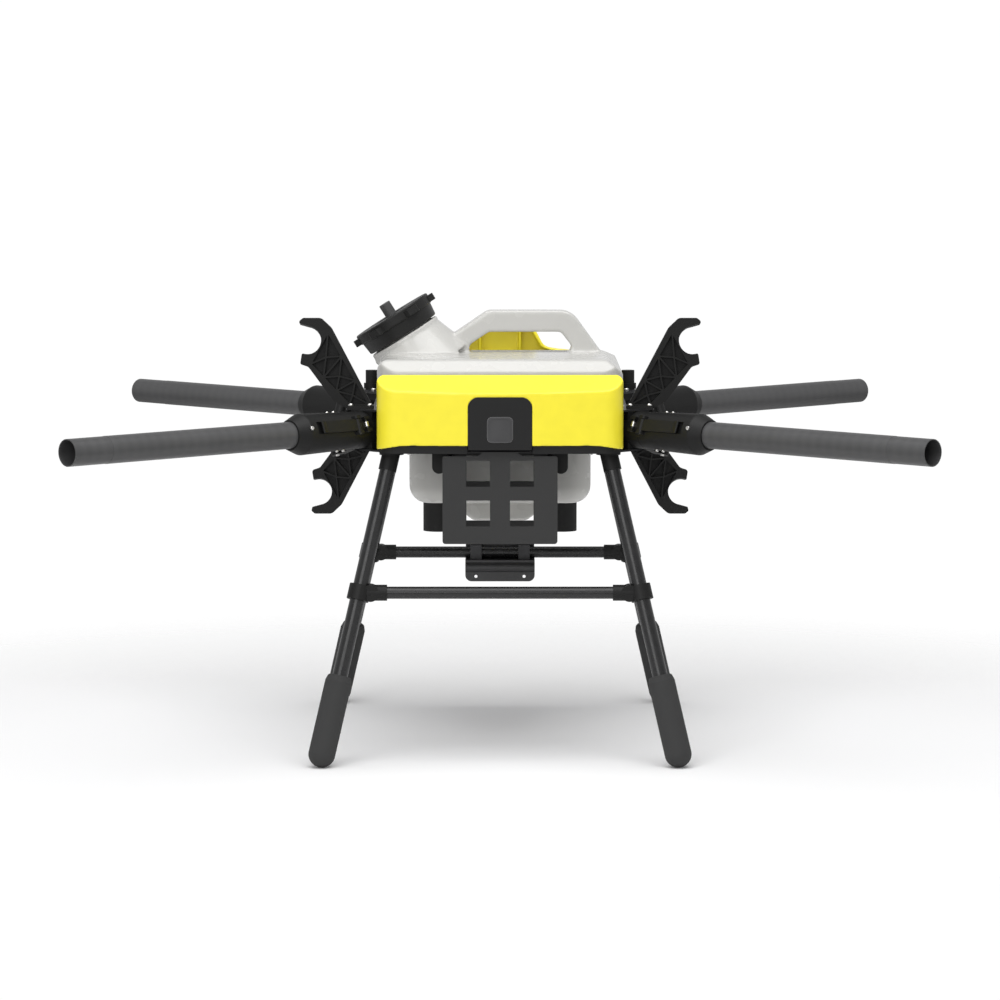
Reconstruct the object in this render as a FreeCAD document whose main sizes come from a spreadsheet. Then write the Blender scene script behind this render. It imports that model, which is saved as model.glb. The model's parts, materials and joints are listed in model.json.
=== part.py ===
import FreeCAD, Part
import math
import os
import re

import Sketcher
from FreeCAD import Placement, Rotation, Vector

# Folding sprayer drone airframe. Millimetres, +Z up, the nose points to -Y.
# The origin is on the ground, under the middle of the airframe.

# ---------------------------------------------------------------- driving dimensions
SIZES = {
    "arm_z": 430.5, "arm_dia": 35, "arm_wall": 1.5, "arm_reach": 753, "joint_reach": 277,
    "joint_gap": 0.15, "pin_offset": 35, "pin_dia": 6, "pin_length": 47, "fold_drop_deg": 15.41,
    "holder_length": 108, "holder_rad": 24.5, "holder_max_rad": 27, "holder_mouth_rad": 19.8,
    "holder_cone_start": 91, "tube_seat": 24, "wire_bore_rad": 10, "knuckle_rad": 8,
    "knuckle_half": 7.7, "ear_inner": 8.0, "ear_length": 14,
    "lever_length": 66, "lever_half": 7.8, "lever_pocket_half": 8.2, "lever_pivot_along": 7.2,
    "lever_pivot_out": 24.7, "lever_thick": 4.6, "lever_pin_rad": 1.5,
    "plate_thick": 2.5, "plate_gap": 50, "plate_side": 168, "plate_front": 226, "plate_corner": 366,
    "tank_hole_half": 125, "tank_hole_depth": 246, "screw_rad": 2.5, "screw_head_rad": 4.2,
    "screw_head": 2.6, "spacer_rad": 4.5,
    "clip_y": 168, "clip_thick": 10, "clip_pocket": 7, "clip_grip_rad": 17.9,
    "clip_rib": 2.2, "clip_foot": 4,
    "shell_half": 161, "shell_front": 240, "shell_back": 206, "shell_top": 505, "shell_crease": 483,
    "shell_low": 414, "shell_droop": 7.5, "shell_wall": 2.4, "shell_corner": 26, "shell_shoulder": 11,
    "shell_slope_depth": 34,
    "rear_shell_y": 210, "rear_shell_half": 152, "rear_shell_round": 8, "rear_shell_depth": 26, "rear_rim": 4.5,
    "hump_top": 549,
    "panel_half": 41.5, "panel_low": 408.5, "panel_top": 477, "panel_corner": 14, "panel_thick": 6,
    "camera_width": 33, "camera_height": 33, "camera_z": 435,
    "cage_half": 75, "cage_low": 285, "cage_high": 400, "cage_front": 233, "cage_depth": 76,
    "cage_sheet": 3, "cage_window": 31.2, "cage_window_high": 34, "cage_window_x": 28.7,
    "cage_tab_half": 24, "cage_spacer_rad": 5,
    "tank_half": 162, "tank_depth": 376, "tank_top": 522, "tank_well_half": 121, "tank_well_depth": 238,
    "tank_well_low": 325, "well_floor_rad": 24, "tank_wall": 3, "tank_foot": 3, "tank_slope": 18,
    "sump_half": 66, "sump_floor_half": 36, "sump_low": 298,
    "sump_depth": 120, "neck_rad": 42, "neck_bore_rad": 37, "handle_half": 19,
    "cap_tilt_deg": 32, "cap_x": -139, "cap_z": 558.5, "cap_rad": 53.5, "cap_high": 31,
    "cap_ring_high": 14, "cap_ring_rad": 56, "cap_lug_rad": 62.5, "cap_lugs": 6,
    "leg_top_x": 142, "leg_top_y": 195, "leg_foot_x": 231, "leg_foot_y": 291, "leg_dia": 20,
    "leg_wall": 1.5, "boot_rad": 17.5, "boot_length": 104, "socket_rad": 11.8, "socket_length": 26,
    "bar_z": 222, "bar_dia": 16, "bar_wall": 1.2, "clamp_rad": 14.5, "clamp_high": 20,
    "sleeve_rad": 10.5, "sleeve_length": 22,
    "radar_half": 49, "radar_low": 183, "radar_sheet": 2.5, "radar_bead_rad": 7, "radar_hole_x": 34,
    "radar_hole_z": 190, "radar_hole_rad": 2.2,
    "pump_x": 86, "pump_y": 155, "pump_rad": 21, "pump_low": 262, "post_x": 179, "post_y": 187,
    "post_rad": 9, "post_foot_rad": 11.5, "post_top": 484, "post_step": 466,
    "seat_rad": 17.25, "seat_length": 60,
}
CORNERS = {"front_left": (-1, -1), "front_right": (1, -1), "rear_left": (-1, 1), "rear_right": (1, 1)}
HALF_ROOT = math.sqrt(0.5)

doc = FreeCAD.newDocument("SprayerDrone")
sheet = doc.addObject("Spreadsheet::Sheet", "Sizes")
for row, (alias, number) in enumerate(SIZES.items(), start=1):
    sheet.set(f"A{row}", alias)
    sheet.set(f"B{row}", str(number))
    sheet.setAlias(f"B{row}", alias)
doc.recompute()
sub_parts = []


# ---------------------------------------------------------------- helpers
def size(alias):
    """The number that the spreadsheet holds under an alias."""
    return float(sheet.get(alias))


def bind(thing, prop, formula):
    """Tie a property to a formula of spreadsheet aliases, such as 'arm_dia / 2'."""
    thing.setExpression(prop, re.sub(r"[a-z]\w*", lambda word: "Sizes." + word.group(), formula))


def name_part(thing, label):
    """Give a finished sub-part the name of its node and keep it for the export."""
    thing.Label = label
    sub_parts.append(thing)
    return thing


def cylinder(name, radius, height, start=Vector(0, 0, 0), along=Vector(0, 0, 1)):
    """A cylinder from a start point, with bound sizes."""
    thing = doc.addObject("Part::Cylinder", name)
    bind(thing, "Radius", radius)
    bind(thing, "Height", height)
    thing.Placement = Placement(start, Rotation(Vector(0, 0, 1), along))
    return thing


def box(name, lengths, corner, turn=Rotation()):
    """A box with three bound lengths and its low corner at a point."""
    thing = doc.addObject("Part::Box", name)
    for prop, formula in zip(("Length", "Width", "Height"), lengths):
        bind(thing, prop, formula)
    thing.Placement = Placement(corner, turn)
    return thing


def fuse(name, things):
    """Join solids into one."""
    thing = doc.addObject("Part::MultiFuse", name)
    thing.Shapes = things
    return thing


def group(name, things):
    """Keep separate solids together in one node."""
    thing = doc.addObject("Part::Compound", name)
    thing.Links = things
    return thing


def cut(name, base, tool):
    """Cut one solid from another."""
    thing = doc.addObject("Part::Cut", name)
    thing.Base = base
    thing.Tool = tool
    return thing


def new_body(label):
    """A PartDesign body that is a sub-part of its own."""
    return name_part(doc.addObject("PartDesign::Body", "Body_" + label), label)


def sketch_on(body, name, role="XY_Plane", lift=None):
    """A sketch on one of the body's own origin planes, lifted by a bound distance."""
    sketch = body.newObject("Sketcher::SketchObject", name)
    plane = next(item for item in body.Origin.OriginFeatures if item.Role == role)
    sketch.AttachmentSupport = [(plane, "")]
    sketch.MapMode = "FlatFace"
    if lift:
        bind(sketch, ".AttachmentOffset.Base.z", lift)
    return sketch


def draw_circle(sketch, centre, radius):
    """A circle whose radius is bound to the sheet."""
    index = sketch.addGeometry(Part.Circle(Vector(*centre, 0), Vector(0, 0, 1), 1))
    rule = sketch.addConstraint(Sketcher.Constraint("Radius", index, 1.0))
    bind(sketch, f"Constraints[{rule}]", radius)


def draw_outline(sketch, corners):
    """A closed outline of straight runs; a corner given as (x, y, radius) is rounded by an arc."""
    for edge in outline_edges(corners):
        sketch.addGeometry(edge)


def outline_edges(corners):
    """The lines and arcs of a closed outline with rounded corners."""
    points = [Vector(corner[0], corner[1], 0) for corner in corners]
    radii = [corner[2] if len(corner) > 2 else 0 for corner in corners]
    arcs = []
    for index, point in enumerate(points):
        if not radii[index]:
            arcs.append((point, None, point))
            continue
        back = (points[index - 1] - point).normalize()
        ahead = (points[(index + 1) % len(points)] - point).normalize()
        half_angle = math.acos(max(-1, min(1, back.dot(ahead)))) / 2
        reach = radii[index] / math.tan(half_angle)
        middle = point + (back + ahead).normalize() * (radii[index] / math.sin(half_angle) - radii[index])
        arcs.append((point + back * reach, middle, point + ahead * reach))
    edges = []
    for index, (start, middle, end) in enumerate(arcs):
        if middle is not None:
            edges.append(Part.Arc(start, middle, end))
        following = arcs[(index + 1) % len(arcs)][0]
        if end.distanceToPoint(following) > 1e-6:
            edges.append(Part.LineSegment(end, following))
    return edges


def pad(body, name, sketch, length, midplane=False, reverse=False):
    """Raise a sketch into a solid by a bound length."""
    feature = body.newObject("PartDesign::Pad", name)
    feature.Profile = sketch
    bind(feature, "Length", length)
    feature.Midplane = midplane
    feature.Reversed = reverse
    body.Tip = feature
    return feature


def pocket(body, name, sketch, length=None, midplane=False, reverse=False):
    """Cut a sketch out of the solid by a bound length, or all the way both ways."""
    doc.recompute()
    before = body.Tip.Shape.Volume
    feature = body.newObject("PartDesign::Pocket", name)
    feature.Profile = sketch
    if length:
        bind(feature, "Length", length)
        feature.Midplane = midplane
        feature.Reversed = reverse
    else:
        feature.Type = "ThroughAll"
        feature.Midplane = True
    doc.recompute()
    if feature.Shape.isNull() or feature.Shape.Volume >= before - 1e-6:
        raise RuntimeError(f"{body.Label}: {name} cuts nothing")
    body.Tip = feature
    return feature


def revolve(body, name, sketch, axis="H_Axis"):
    """Turn a sketch once round one of its own axes."""
    feature = body.newObject("PartDesign::Revolution", name)
    feature.Profile = sketch
    feature.ReferenceAxis = (sketch, [axis])
    feature.Angle = 360
    body.Tip = feature
    return feature


def round_edges(body, name, feature, radius, test):
    """Fillet the edges of a feature whose middle point passes a test."""
    doc.recompute()
    chosen = []
    for index, edge in enumerate(feature.Shape.Edges, start=1):
        middle = edge.valueAt((edge.FirstParameter + edge.LastParameter) / 2)
        if test(middle):
            chosen.append(f"Edge{index}")
    fillet = body.newObject("PartDesign::Fillet", name)
    fillet.Base = (feature, chosen)
    bind(fillet, "Radius", radius)
    body.Tip = fillet
    return fillet


def tube(name, outer, inner, length, start, along):
    """A round tube from a start point; its length is a formula or a number."""
    skin = cylinder(name + "_skin", outer, length, start, along)
    bore = cylinder(name + "_bore", inner, length, start, along)
    return cut(name, skin, bore)


# ---------------------------------------------------------------- folding arm geometry
class ArmFrame:
    """The frame of one arm: x runs out along the tube, y to the fold side, z along the hinge pin."""

    def __init__(self, side, end):
        drop = math.radians(size("fold_drop_deg"))
        self.side = side
        self.end = end
        self.out = Vector(side * HALF_ROOT, end * HALF_ROOT, 0)
        self.folded = Vector(0, -end * math.cos(drop), end * math.sin(drop))
        self.fold_side = (self.folded - self.out * self.folded.dot(self.out)).normalize()
        self.pin_axis = self.out.cross(self.fold_side)
        self.middle = self.out * size("joint_reach") + Vector(0, 0, size("arm_z"))
        self.turn = Rotation(self.out, self.fold_side, self.pin_axis, "XYZ")
        self.place = Placement(self.middle, self.turn)
        self.angle = math.degrees(self.out.getAngle(self.folded))

    def folded_point(self, y):
        """Where the folded tube's axis crosses a plane of constant y."""
        angle = math.radians(self.angle)
        turned = self.fold_side * math.cos(angle) - self.out * math.sin(angle)
        start = self.middle + (self.fold_side - turned) * size("pin_offset")
        return start + self.folded * ((y - start.y) / self.folded.y)

    def local(self, x, y, z):
        """A point of the arm's frame in the airframe's frame."""
        return self.place.multVec(Vector(x, y, z))


ARMS = {corner: ArmFrame(*signs) for corner, signs in CORNERS.items()}


def make_arm_holder(corner, arm):
    """The moving half of the folding joint, which grips the arm tube."""
    body = new_body(f"{corner}_arm_holder")
    gap = size("joint_gap")
    grip = size("arm_dia") / 2 + 0.05
    profile = sketch_on(body, f"HolderProfile_{corner}")
    draw_outline(profile, [
        (gap, size("wire_bore_rad")), (gap, size("holder_rad")),
        (size("holder_cone_start"), size("holder_max_rad"), 5), (size("holder_length"), size("holder_mouth_rad")),
        (size("holder_length"), grip), (size("tube_seat"), grip), (size("tube_seat"), size("wire_bore_rad"))])
    revolve(body, f"HolderSkin_{corner}", profile)
    knuckle = sketch_on(body, f"KnuckleSketch_{corner}")
    draw_circle(knuckle, (0, size("pin_offset")), "knuckle_rad")
    pad(body, f"Knuckle_{corner}", knuckle, "knuckle_half * 2", midplane=True)
    web = sketch_on(body, f"WebSketch_{corner}")
    draw_outline(web, [(gap, 20), (16, 20), (16, 27), (7, 37), (gap, 37)])
    pad(body, f"Web_{corner}", web, "knuckle_half * 2", midplane=True)
    pivot = (size("lever_pivot_along"), -size("lever_pivot_out"))
    ears = sketch_on(body, f"LeverEarSketch_{corner}")
    draw_outline(ears, [(2.5, -14), (2.5, -29.4, 3), (11.9, -29.4, 3), (15, -14)])
    pad(body, f"LeverEars_{corner}", ears, "lever_pocket_half * 2 + 8", midplane=True)
    slot = sketch_on(body, f"LeverSlotSketch_{corner}")
    draw_outline(slot, [(1.5, -19.4), (13, -19.4), (13, -21.8), (80, -21.8), (80, -35), (1.5, -35)])
    pocket(body, f"LeverSlot_{corner}", slot, "lever_pocket_half * 2", midplane=True)
    holes = sketch_on(body, f"PinHoleSketch_{corner}")
    draw_circle(holes, (0, size("pin_offset")), "pin_dia / 2 + 0.05")
    draw_circle(holes, pivot, "lever_pin_rad + 0.05")
    pocket(body, f"PinHoles_{corner}", holes)
    body.Placement = arm.place


def make_arm_tube(corner, arm):
    """The carbon tube of one arm, with its open outer end ground down to seat a motor mount."""
    length = "arm_reach - joint_reach - tube_seat - 0.2"
    part = tube(f"ArmTube_{corner}", "arm_dia / 2", "arm_dia / 2 - arm_wall", length,
                Vector(size("tube_seat") + 0.2, 0, 0), Vector(1, 0, 0))
    seat_start = Vector(size("arm_reach") - size("joint_reach") - size("seat_length"), 0, 0)
    waste = tube(f"SeatWaste_{corner}", "arm_dia / 2 + 1", "seat_rad", "seat_length + 1", seat_start, Vector(1, 0, 0))
    seated = cut(f"SeatedTube_{corner}", part, waste)
    name_part(seated, f"{corner}_arm_tube").Placement = arm.place


def make_latch_lever(corner, arm):
    """The lever that locks the joint, turning on its own pin."""
    body = new_body(f"{corner}_latch_lever")
    along = size("lever_pivot_along")
    out = -size("lever_pivot_out")
    half = size("lever_thick") / 2
    tip = along + size("lever_length")
    bar = sketch_on(body, f"LeverBarSketch_{corner}")
    draw_outline(bar, [(along, out - half), (tip - 9, out - half), (tip, out - half - 3, 1.5),
                       (tip, out - half, 1), (tip - 7, out + half), (along, out + half)])
    pad(body, f"LeverBar_{corner}", bar, "lever_half * 2", midplane=True)
    boss = sketch_on(body, f"LeverBossSketch_{corner}")
    draw_circle(boss, (along, out), "lever_thick - 0.4")
    pad(body, f"LeverBoss_{corner}", boss, "lever_half * 2", midplane=True)
    hole = sketch_on(body, f"LeverHoleSketch_{corner}")
    draw_circle(hole, (along, out), "lever_pin_rad + 0.05")
    pocket(body, f"LeverHole_{corner}", hole)
    body.Placement = arm.place


def make_arm_fasteners(corner, arm):
    """The lever's pin and the screws that clamp the tube in its holder."""
    pin_start = Vector(size("lever_pivot_along"), -size("lever_pivot_out"), -size("lever_pocket_half") - 4)
    things = [cylinder(f"LeverPin_{corner}", "lever_pin_rad", "lever_pocket_half * 2 + 8", pin_start)]
    for index, (along, side) in enumerate([(22, 1), (33, 1), (22, -1), (33, -1)]):
        start = Vector(along, 0, side * (size("holder_rad") - 2))
        things.append(cylinder(f"HolderScrew_{corner}_{index}", "screw_head_rad - 1", "screw_head + 2.5",
                               start, Vector(0, 0, side)))
    boss = Vector(91, -24, 0)
    things.append(cylinder(f"BossScrew_{corner}", "screw_head_rad", "screw_head + 2.5", boss, Vector(0, -1, 0)))
    name_part(group(f"ArmFasteners_{corner}", things), f"{corner}_arm_screws").Placement = arm.place


def make_arm_base(corner, arm):
    """The fixed half of the folding joint, held between the plates."""
    gap = size("joint_gap")
    barrel = cylinder(f"BaseBarrel_{corner}", "holder_rad", "plate_gap - 2", Vector(-gap, 0, 0), Vector(-1, 0, 0))
    heading = Rotation(Vector(0, 0, 1), math.degrees(math.atan2(arm.out.y, arm.out.x)))
    block_turn = arm.turn.inverted().multiply(heading)
    block_corner = block_turn.multVec(Vector(-77, -20, -size("plate_gap") / 2))
    block = box(f"BaseBlock_{corner}", ("57", "40", "plate_gap"), block_corner, block_turn)
    solids = [barrel, block]
    tools = [cylinder(f"BaseBore_{corner}", "wire_bore_rad", "90", Vector(5, 0, 0), Vector(-1, 0, 0))]
    for side in (-1, 1):
        low = size("ear_inner") if side > 0 else -size("ear_inner") - size("ear_length")
        solids.append(cylinder(f"Ear_{corner}_{side}", "knuckle_rad", "ear_length",
                               Vector(0, size("pin_offset"), low)))
        solids.append(box(f"EarWeb_{corner}_{side}", ("14", "21", "ear_length"), Vector(-14 - gap, 14, low)))
        solids.append(box(f"Catch_{corner}_{side}", ("9", "12", "4"), Vector(-11.7, -29.2, side * 8 - 2)))
    pin_reach = size("pin_length") / 2
    tools.append(cylinder(f"EarHole_{corner}", "pin_dia / 2 + 0.02", "pin_length",
                          Vector(0, size("pin_offset"), -pin_reach)))
    tools.append(cylinder(f"CatchHole_{corner}", "lever_pin_rad + 0.52", "22", Vector(-7.2, -25.4, -11)))
    skin = fuse(f"BaseSkin_{corner}", solids)
    part = cut(f"ArmBase_{corner}", skin, fuse(f"BaseTools_{corner}", tools))
    name_part(part, f"{corner}_arm_base").Placement = arm.place


def make_joint_pins():
    """Hinge pins and catch pins of the four joints, as separate solids."""
    things = []
    for corner, arm in ARMS.items():
        reach = size("pin_length") / 2
        things.append(cylinder(f"HingePin_{corner}", "pin_dia / 2", "pin_length",
                               arm.local(0, size("pin_offset"), -reach), arm.pin_axis))
        things.append(cylinder(f"CatchPin_{corner}", "lever_pin_rad + 0.5", "21",
                               arm.local(-7.2, -25.4, -10.5), arm.pin_axis))
    name_part(group("JointPins", things), "joint_pins")


# ---------------------------------------------------------------- plates and what joins them
def plate_screw_places():
    """Places of the plate screws, the same on both plates."""
    places = []
    for side, end in CORNERS.values():
        for reach, across in ((214, -13), (214, 13), (236, -13), (236, 13)):
            places.append((HALF_ROOT * (side * reach - end * across), HALF_ROOT * (end * reach + side * across)))
        places.append((side * 118, end * 214))
    return places


def clip_screw_places():
    """Places of the screws through the arm clips' feet, with +1 above the plates and -1 below."""
    across = size("clip_y") + 10
    return [(side * along, end * across, -end) for side, end in CORNERS.values() for along in (171, 196)]


def make_plate(label, low):
    """One carbon plate with the opening for the tank."""
    body = new_body(label)
    side = size("plate_side")
    front = size("plate_front")
    corner = size("plate_corner")
    reach = side + 37.5
    quarter = [(side, 112, 8), (reach, corner - reach, 8), (corner - reach, reach, 8), (147, reach, 0),
               (130, front, 8)]
    turned = [(-x, y, r) for x, y, r in reversed(quarter)]
    loop = quarter + turned
    loop += [(-x, -y, r) for x, y, r in quarter] + [(x, -y, r) for x, y, r in reversed(quarter)]
    outline = sketch_on(body, label + "_outline")
    draw_outline(outline, loop)
    pad(body, label + "_sheet", outline, "plate_thick")
    holes = sketch_on(body, label + "_hole_sketch")
    half = size("tank_hole_half")
    depth = size("tank_hole_depth") / 2
    draw_outline(holes, [(half, depth, 32), (-half, depth, 32), (-half, -depth, 32), (half, -depth, 32)])
    for place in plate_screw_places():
        draw_circle(holes, place, "screw_rad + 0.1")
    for x, y, way in clip_screw_places():
        if (low > size("arm_z")) == (way > 0):
            draw_circle(holes, (x, y), "screw_rad + 0.1")
    if label == "bottom_plate":
        for y in (-size("cage_front"), -size("cage_front") + size("cage_depth")):
            if y > -front:
                slot = size("cage_tab_half") + 0.3
                sheet_gap = size("cage_sheet") + 0.3
                draw_outline(holes, [(slot, y - 0.3), (slot, y + sheet_gap),
                                     (-slot, y + sheet_gap), (-slot, y - 0.3)])
    pocket(body, label + "_holes", holes)
    body.Placement = Placement(Vector(0, 0, low), Rotation())


def make_spacers():
    """Round spacers and corner bars that hold the two plates apart."""
    low = size("arm_z") - size("plate_gap") / 2
    rounds = []
    for index, (x, y) in enumerate([(60, 214), (-60, 214), (60, -222), (-60, -222), (158, 60), (-158, 60),
                                    (158, -60), (-158, -60)]):
        rounds.append(cylinder(f"Spacer_{index}", "spacer_rad", "plate_gap", Vector(x, y, low)))
    name_part(group("Spacers", rounds), "plate_spacers")
    bars = []
    for index, (side, end) in enumerate(CORNERS.values()):
        corner = Vector(side * 150 - 4, end * 196 - 7, low)
        bars.append(box(f"CornerBar_{index}", ("8", "14", "plate_gap"), corner))
    name_part(group("CornerBars", bars), "corner_bars")


def make_frame_screws():
    """Button-head screws above and below the plates, as separate solids."""
    things = []
    top = size("arm_z") + size("plate_gap") / 2 + size("plate_thick")
    low = size("arm_z") - size("plate_gap") / 2 - size("plate_thick")
    for index, (x, y) in enumerate(plate_screw_places()):
        for level, way in ((top, 1), (low, -1)):
            head = cylinder(f"Head_{index}_{way}", "screw_head_rad", "screw_head",
                            Vector(x, y, level), Vector(0, 0, way))
            shank = cylinder(f"Shank_{index}_{way}", "screw_rad", "plate_thick",
                             Vector(x, y, level), Vector(0, 0, -way))
            things.append(fuse(f"Screw_{index}_{way}", [head, shank]))
    for index, (x, y, way) in enumerate(clip_screw_places()):
        level = (top if way > 0 else low) + way * size("clip_foot")
        head = cylinder(f"ClipHead_{index}", "screw_head_rad", "screw_head", Vector(x, y, level), Vector(0, 0, way))
        shank = cylinder(f"ClipShank_{index}", "screw_rad", "plate_thick + clip_foot",
                         Vector(x, y, level), Vector(0, 0, -way))
        things.append(fuse(f"ClipScrew_{index}", [head, shank]))
    name_part(group("FrameScrews", things), "frame_screws")


def clip_outline(centre, foot):
    """The clip's outline in its own plane, seen from the nose, for the left side of the airframe."""
    x, z = centre
    return [(-166, foot), (x + 31.7, z + 17, 16), (x + 18, z + 30, 9), (x - 6, z + 30, 4),
            (x - 11, z + 26, 3), (x - 8, z + 15, 2), (x + 6, z + 16.5), (x + 6, z - 16.5),
            (x - 7.5, z - 16.5, 2), (x - 9.7, z - 30.5, 3), (x + 1, z - 34, 8), (x + 33.5, z - 78, 10),
            (-202, foot)]


def clip_cells(centre, foot):
    """The hollow triangles between the crossed ribs of a clip."""
    x, z = centre
    inner = (Vector(x + 27, z + 12, 0), Vector(-172, foot + 5, 0))
    outer = (Vector(x + 4, z - 30, 0), Vector(-198, foot + 5, 0))
    bays = 3
    cells = []
    for bay in range(bays):
        near, far = bay / bays, (bay + 1) / bays
        corners = [inner[0] + (inner[1] - inner[0]) * near, outer[0] + (outer[1] - outer[0]) * near,
                   outer[0] + (outer[1] - outer[0]) * far, inner[0] + (inner[1] - inner[0]) * far]
        middle = (corners[0] + corners[1] + corners[2] + corners[3]) * 0.25
        for index in range(4):
            cells.append([corners[index], corners[(index + 1) % 4], middle])
    return cells


def shrink(triangle, inset):
    """Move every side of a triangle inwards by a distance."""
    a, b, c = triangle
    sides = [(b - c).Length, (c - a).Length, (a - b).Length]
    around = sum(sides)
    centre = (a * sides[0] + b * sides[1] + c * sides[2]) * (1 / around)
    area = (b - a).cross(c - a).Length / 2
    inscribed = 2 * area / around
    if inscribed <= inset * 1.3:
        return None
    factor = 1 - inset / inscribed
    return [centre + (point - centre) * factor for point in triangle]


def make_clip_blank(corner, side, end, centre):
    """The clip before the tube's seat is cut: an outline with triangular pockets between crossed ribs."""
    blank = doc.addObject("PartDesign::Body", f"ClipBlank_{corner}")
    reach = (-abs(centre.x), abs(centre.z - size("arm_z")))
    foot = size("plate_gap") / 2 + size("plate_thick")
    outline = sketch_on(blank, f"ClipSketch_{corner}", "XZ_Plane")
    draw_outline(outline, [(-side * point[0], -end * point[1]) + point[2:] for point in clip_outline(reach, foot)])
    pad(blank, f"ClipPad_{corner}", outline, "clip_thick", midplane=True)
    cells = sketch_on(blank, f"ClipCells_{corner}", "XZ_Plane", "clip_thick / 2")
    for triangle in clip_cells(reach, foot):
        small = shrink(triangle, size("clip_rib") / 2)
        if small:
            draw_outline(cells, [(-side * point.x, -end * point.y) for point in small])
    pocket(blank, f"ClipPocket_{corner}", cells, "clip_pocket")
    flange = sketch_on(blank, f"ClipFootSketch_{corner}", "XY_Plane", f"{-end} * (plate_gap / 2 + plate_thick)")
    draw_outline(flange, [(side * 166, end * 15), (side * 201, end * 15),
                          (side * 201, end * -5), (side * 166, end * -5)])
    for along in (171, 196):
        draw_circle(flange, (side * along, end * 10), "screw_rad + 0.1")
    pad(blank, f"ClipFoot_{corner}", flange, "clip_foot", reverse=end > 0)
    blank.Placement = Placement(Vector(0, end * size("clip_y"), size("arm_z")), Rotation())
    return blank


def make_arm_clips():
    """Ribbed hooks that hold the folded tubes: above the plates at the nose, below them at the tail."""
    for corner, (side, end) in CORNERS.items():
        holds = ARMS[("rear_" if end < 0 else "front_") + ("left" if side < 0 else "right")]
        centre = holds.folded_point(end * size("clip_y"))
        blank = make_clip_blank(corner, side, end, centre)
        angle = math.radians(holds.angle)
        way_in = holds.fold_side * math.cos(angle) - holds.out * math.sin(angle)
        grips = []
        for step in range(9):
            start = centre - way_in * (step * 3) - holds.folded * 20
            grips.append(cylinder(f"Grip_{corner}_{step}", "clip_grip_rad", "40", start, holds.folded))
        part = cut(f"ArmClip_{corner}", blank, fuse(f"Grips_{corner}", grips))
        name_part(part, f"{corner}_arm_clip")


# ---------------------------------------------------------------- covers and camera
def shell_solid(inset):
    """The nose cover's outer form, or its hollow when the inset is the wall."""
    half = size("shell_half") - inset
    front = -size("shell_front") + inset
    back = -size("shell_back") + (1 if inset else 0)
    low = size("shell_low") - size("shell_droop") - (1 if inset else 0)
    top = size("shell_top")
    plan = Part.Wire([edge.toShape() for edge in outline_edges(
        [(-half, back), (-half, front + 4, size("shell_corner")), (0, front - 4, 1500),
         (half, front + 4, size("shell_corner")), (half, back)])])
    column = Part.Face(plan).extrude(Vector(0, 0, top - low + 40))
    column.translate(Vector(0, 0, low))
    crease = size("shell_crease") - inset * 0.4
    lip = top + (20 if inset else 0)
    slope = size("shell_slope_depth") * (lip - crease) / (top - size("shell_crease"))
    section = [Vector(0, front - 10, low), Vector(0, front - 10, crease), Vector(0, front, crease),
               Vector(0, front + slope, lip), Vector(0, back + 5, lip), Vector(0, back + 5, low)]
    prism = Part.Face(Part.makePolygon(section + section[:1])).extrude(Vector(2 * half + 20, 0, 0))
    prism.translate(Vector(-half - 10, 0, 0))
    shoulder = size("shell_shoulder")
    gate = Part.Face(Part.Wire([edge.toShape() for edge in outline_edges(
        [(-half, low), (-half, lip, shoulder), (half, lip, shoulder), (half, low)])]))
    gate.rotate(Vector(0, 0, 0), Vector(1, 0, 0), 90)
    gate = gate.extrude(Vector(0, -300, 0))
    return column.common(prism).common(gate)


def make_front_shell():
    """The yellow nose cover: a thin shell open behind and below, with a bay for the camera panel."""
    shell = shell_solid(0).cut(shell_solid(size("shell_wall")))
    low = size("shell_low")
    droop = size("shell_droop")
    half = size("shell_half") + 5
    arch = Part.Wire([
        Part.LineSegment(Vector(-half, 0, low - droop - 5), Vector(-half, 0, low - droop)).toShape(),
        Part.LineSegment(Vector(-half, 0, low - droop), Vector(-150, 0, low - droop * 0.55)).toShape(),
        Part.Arc(Vector(-150, 0, low - droop * 0.55), Vector(-132, 0, low - droop * 0.14),
                 Vector(-108, 0, low)).toShape(),
        Part.LineSegment(Vector(-108, 0, low), Vector(108, 0, low)).toShape(),
        Part.Arc(Vector(108, 0, low), Vector(132, 0, low - droop * 0.14),
                 Vector(150, 0, low - droop * 0.55)).toShape(),
        Part.LineSegment(Vector(150, 0, low - droop * 0.55), Vector(half, 0, low - droop)).toShape(),
        Part.LineSegment(Vector(half, 0, low - droop), Vector(half, 0, low - droop - 5)).toShape(),
        Part.LineSegment(Vector(half, 0, low - droop - 5), Vector(-half, 0, low - droop - 5)).toShape()])
    under = Part.Face(arch).extrude(Vector(0, -300, 0))
    panel = size("panel_half") + 0.2
    top = size("panel_top") + 0.2
    bay_corner = size("panel_corner")
    bay = Part.Wire([edge.toShape() for edge in outline_edges(
        [(-panel, low - 20), (-panel, top, bay_corner), (panel, top, bay_corner), (panel, low - 20)])])
    window = Part.Face(bay)
    window.rotate(Vector(0, 0, 0), Vector(1, 0, 0), 90)
    window = window.extrude(Vector(0, -300, 0))
    thing = doc.addObject("Part::Feature", "FrontShell")
    thing.Shape = shell.cut(under).cut(window)
    name_part(thing, "front_cover").Placement = Placement()


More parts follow.
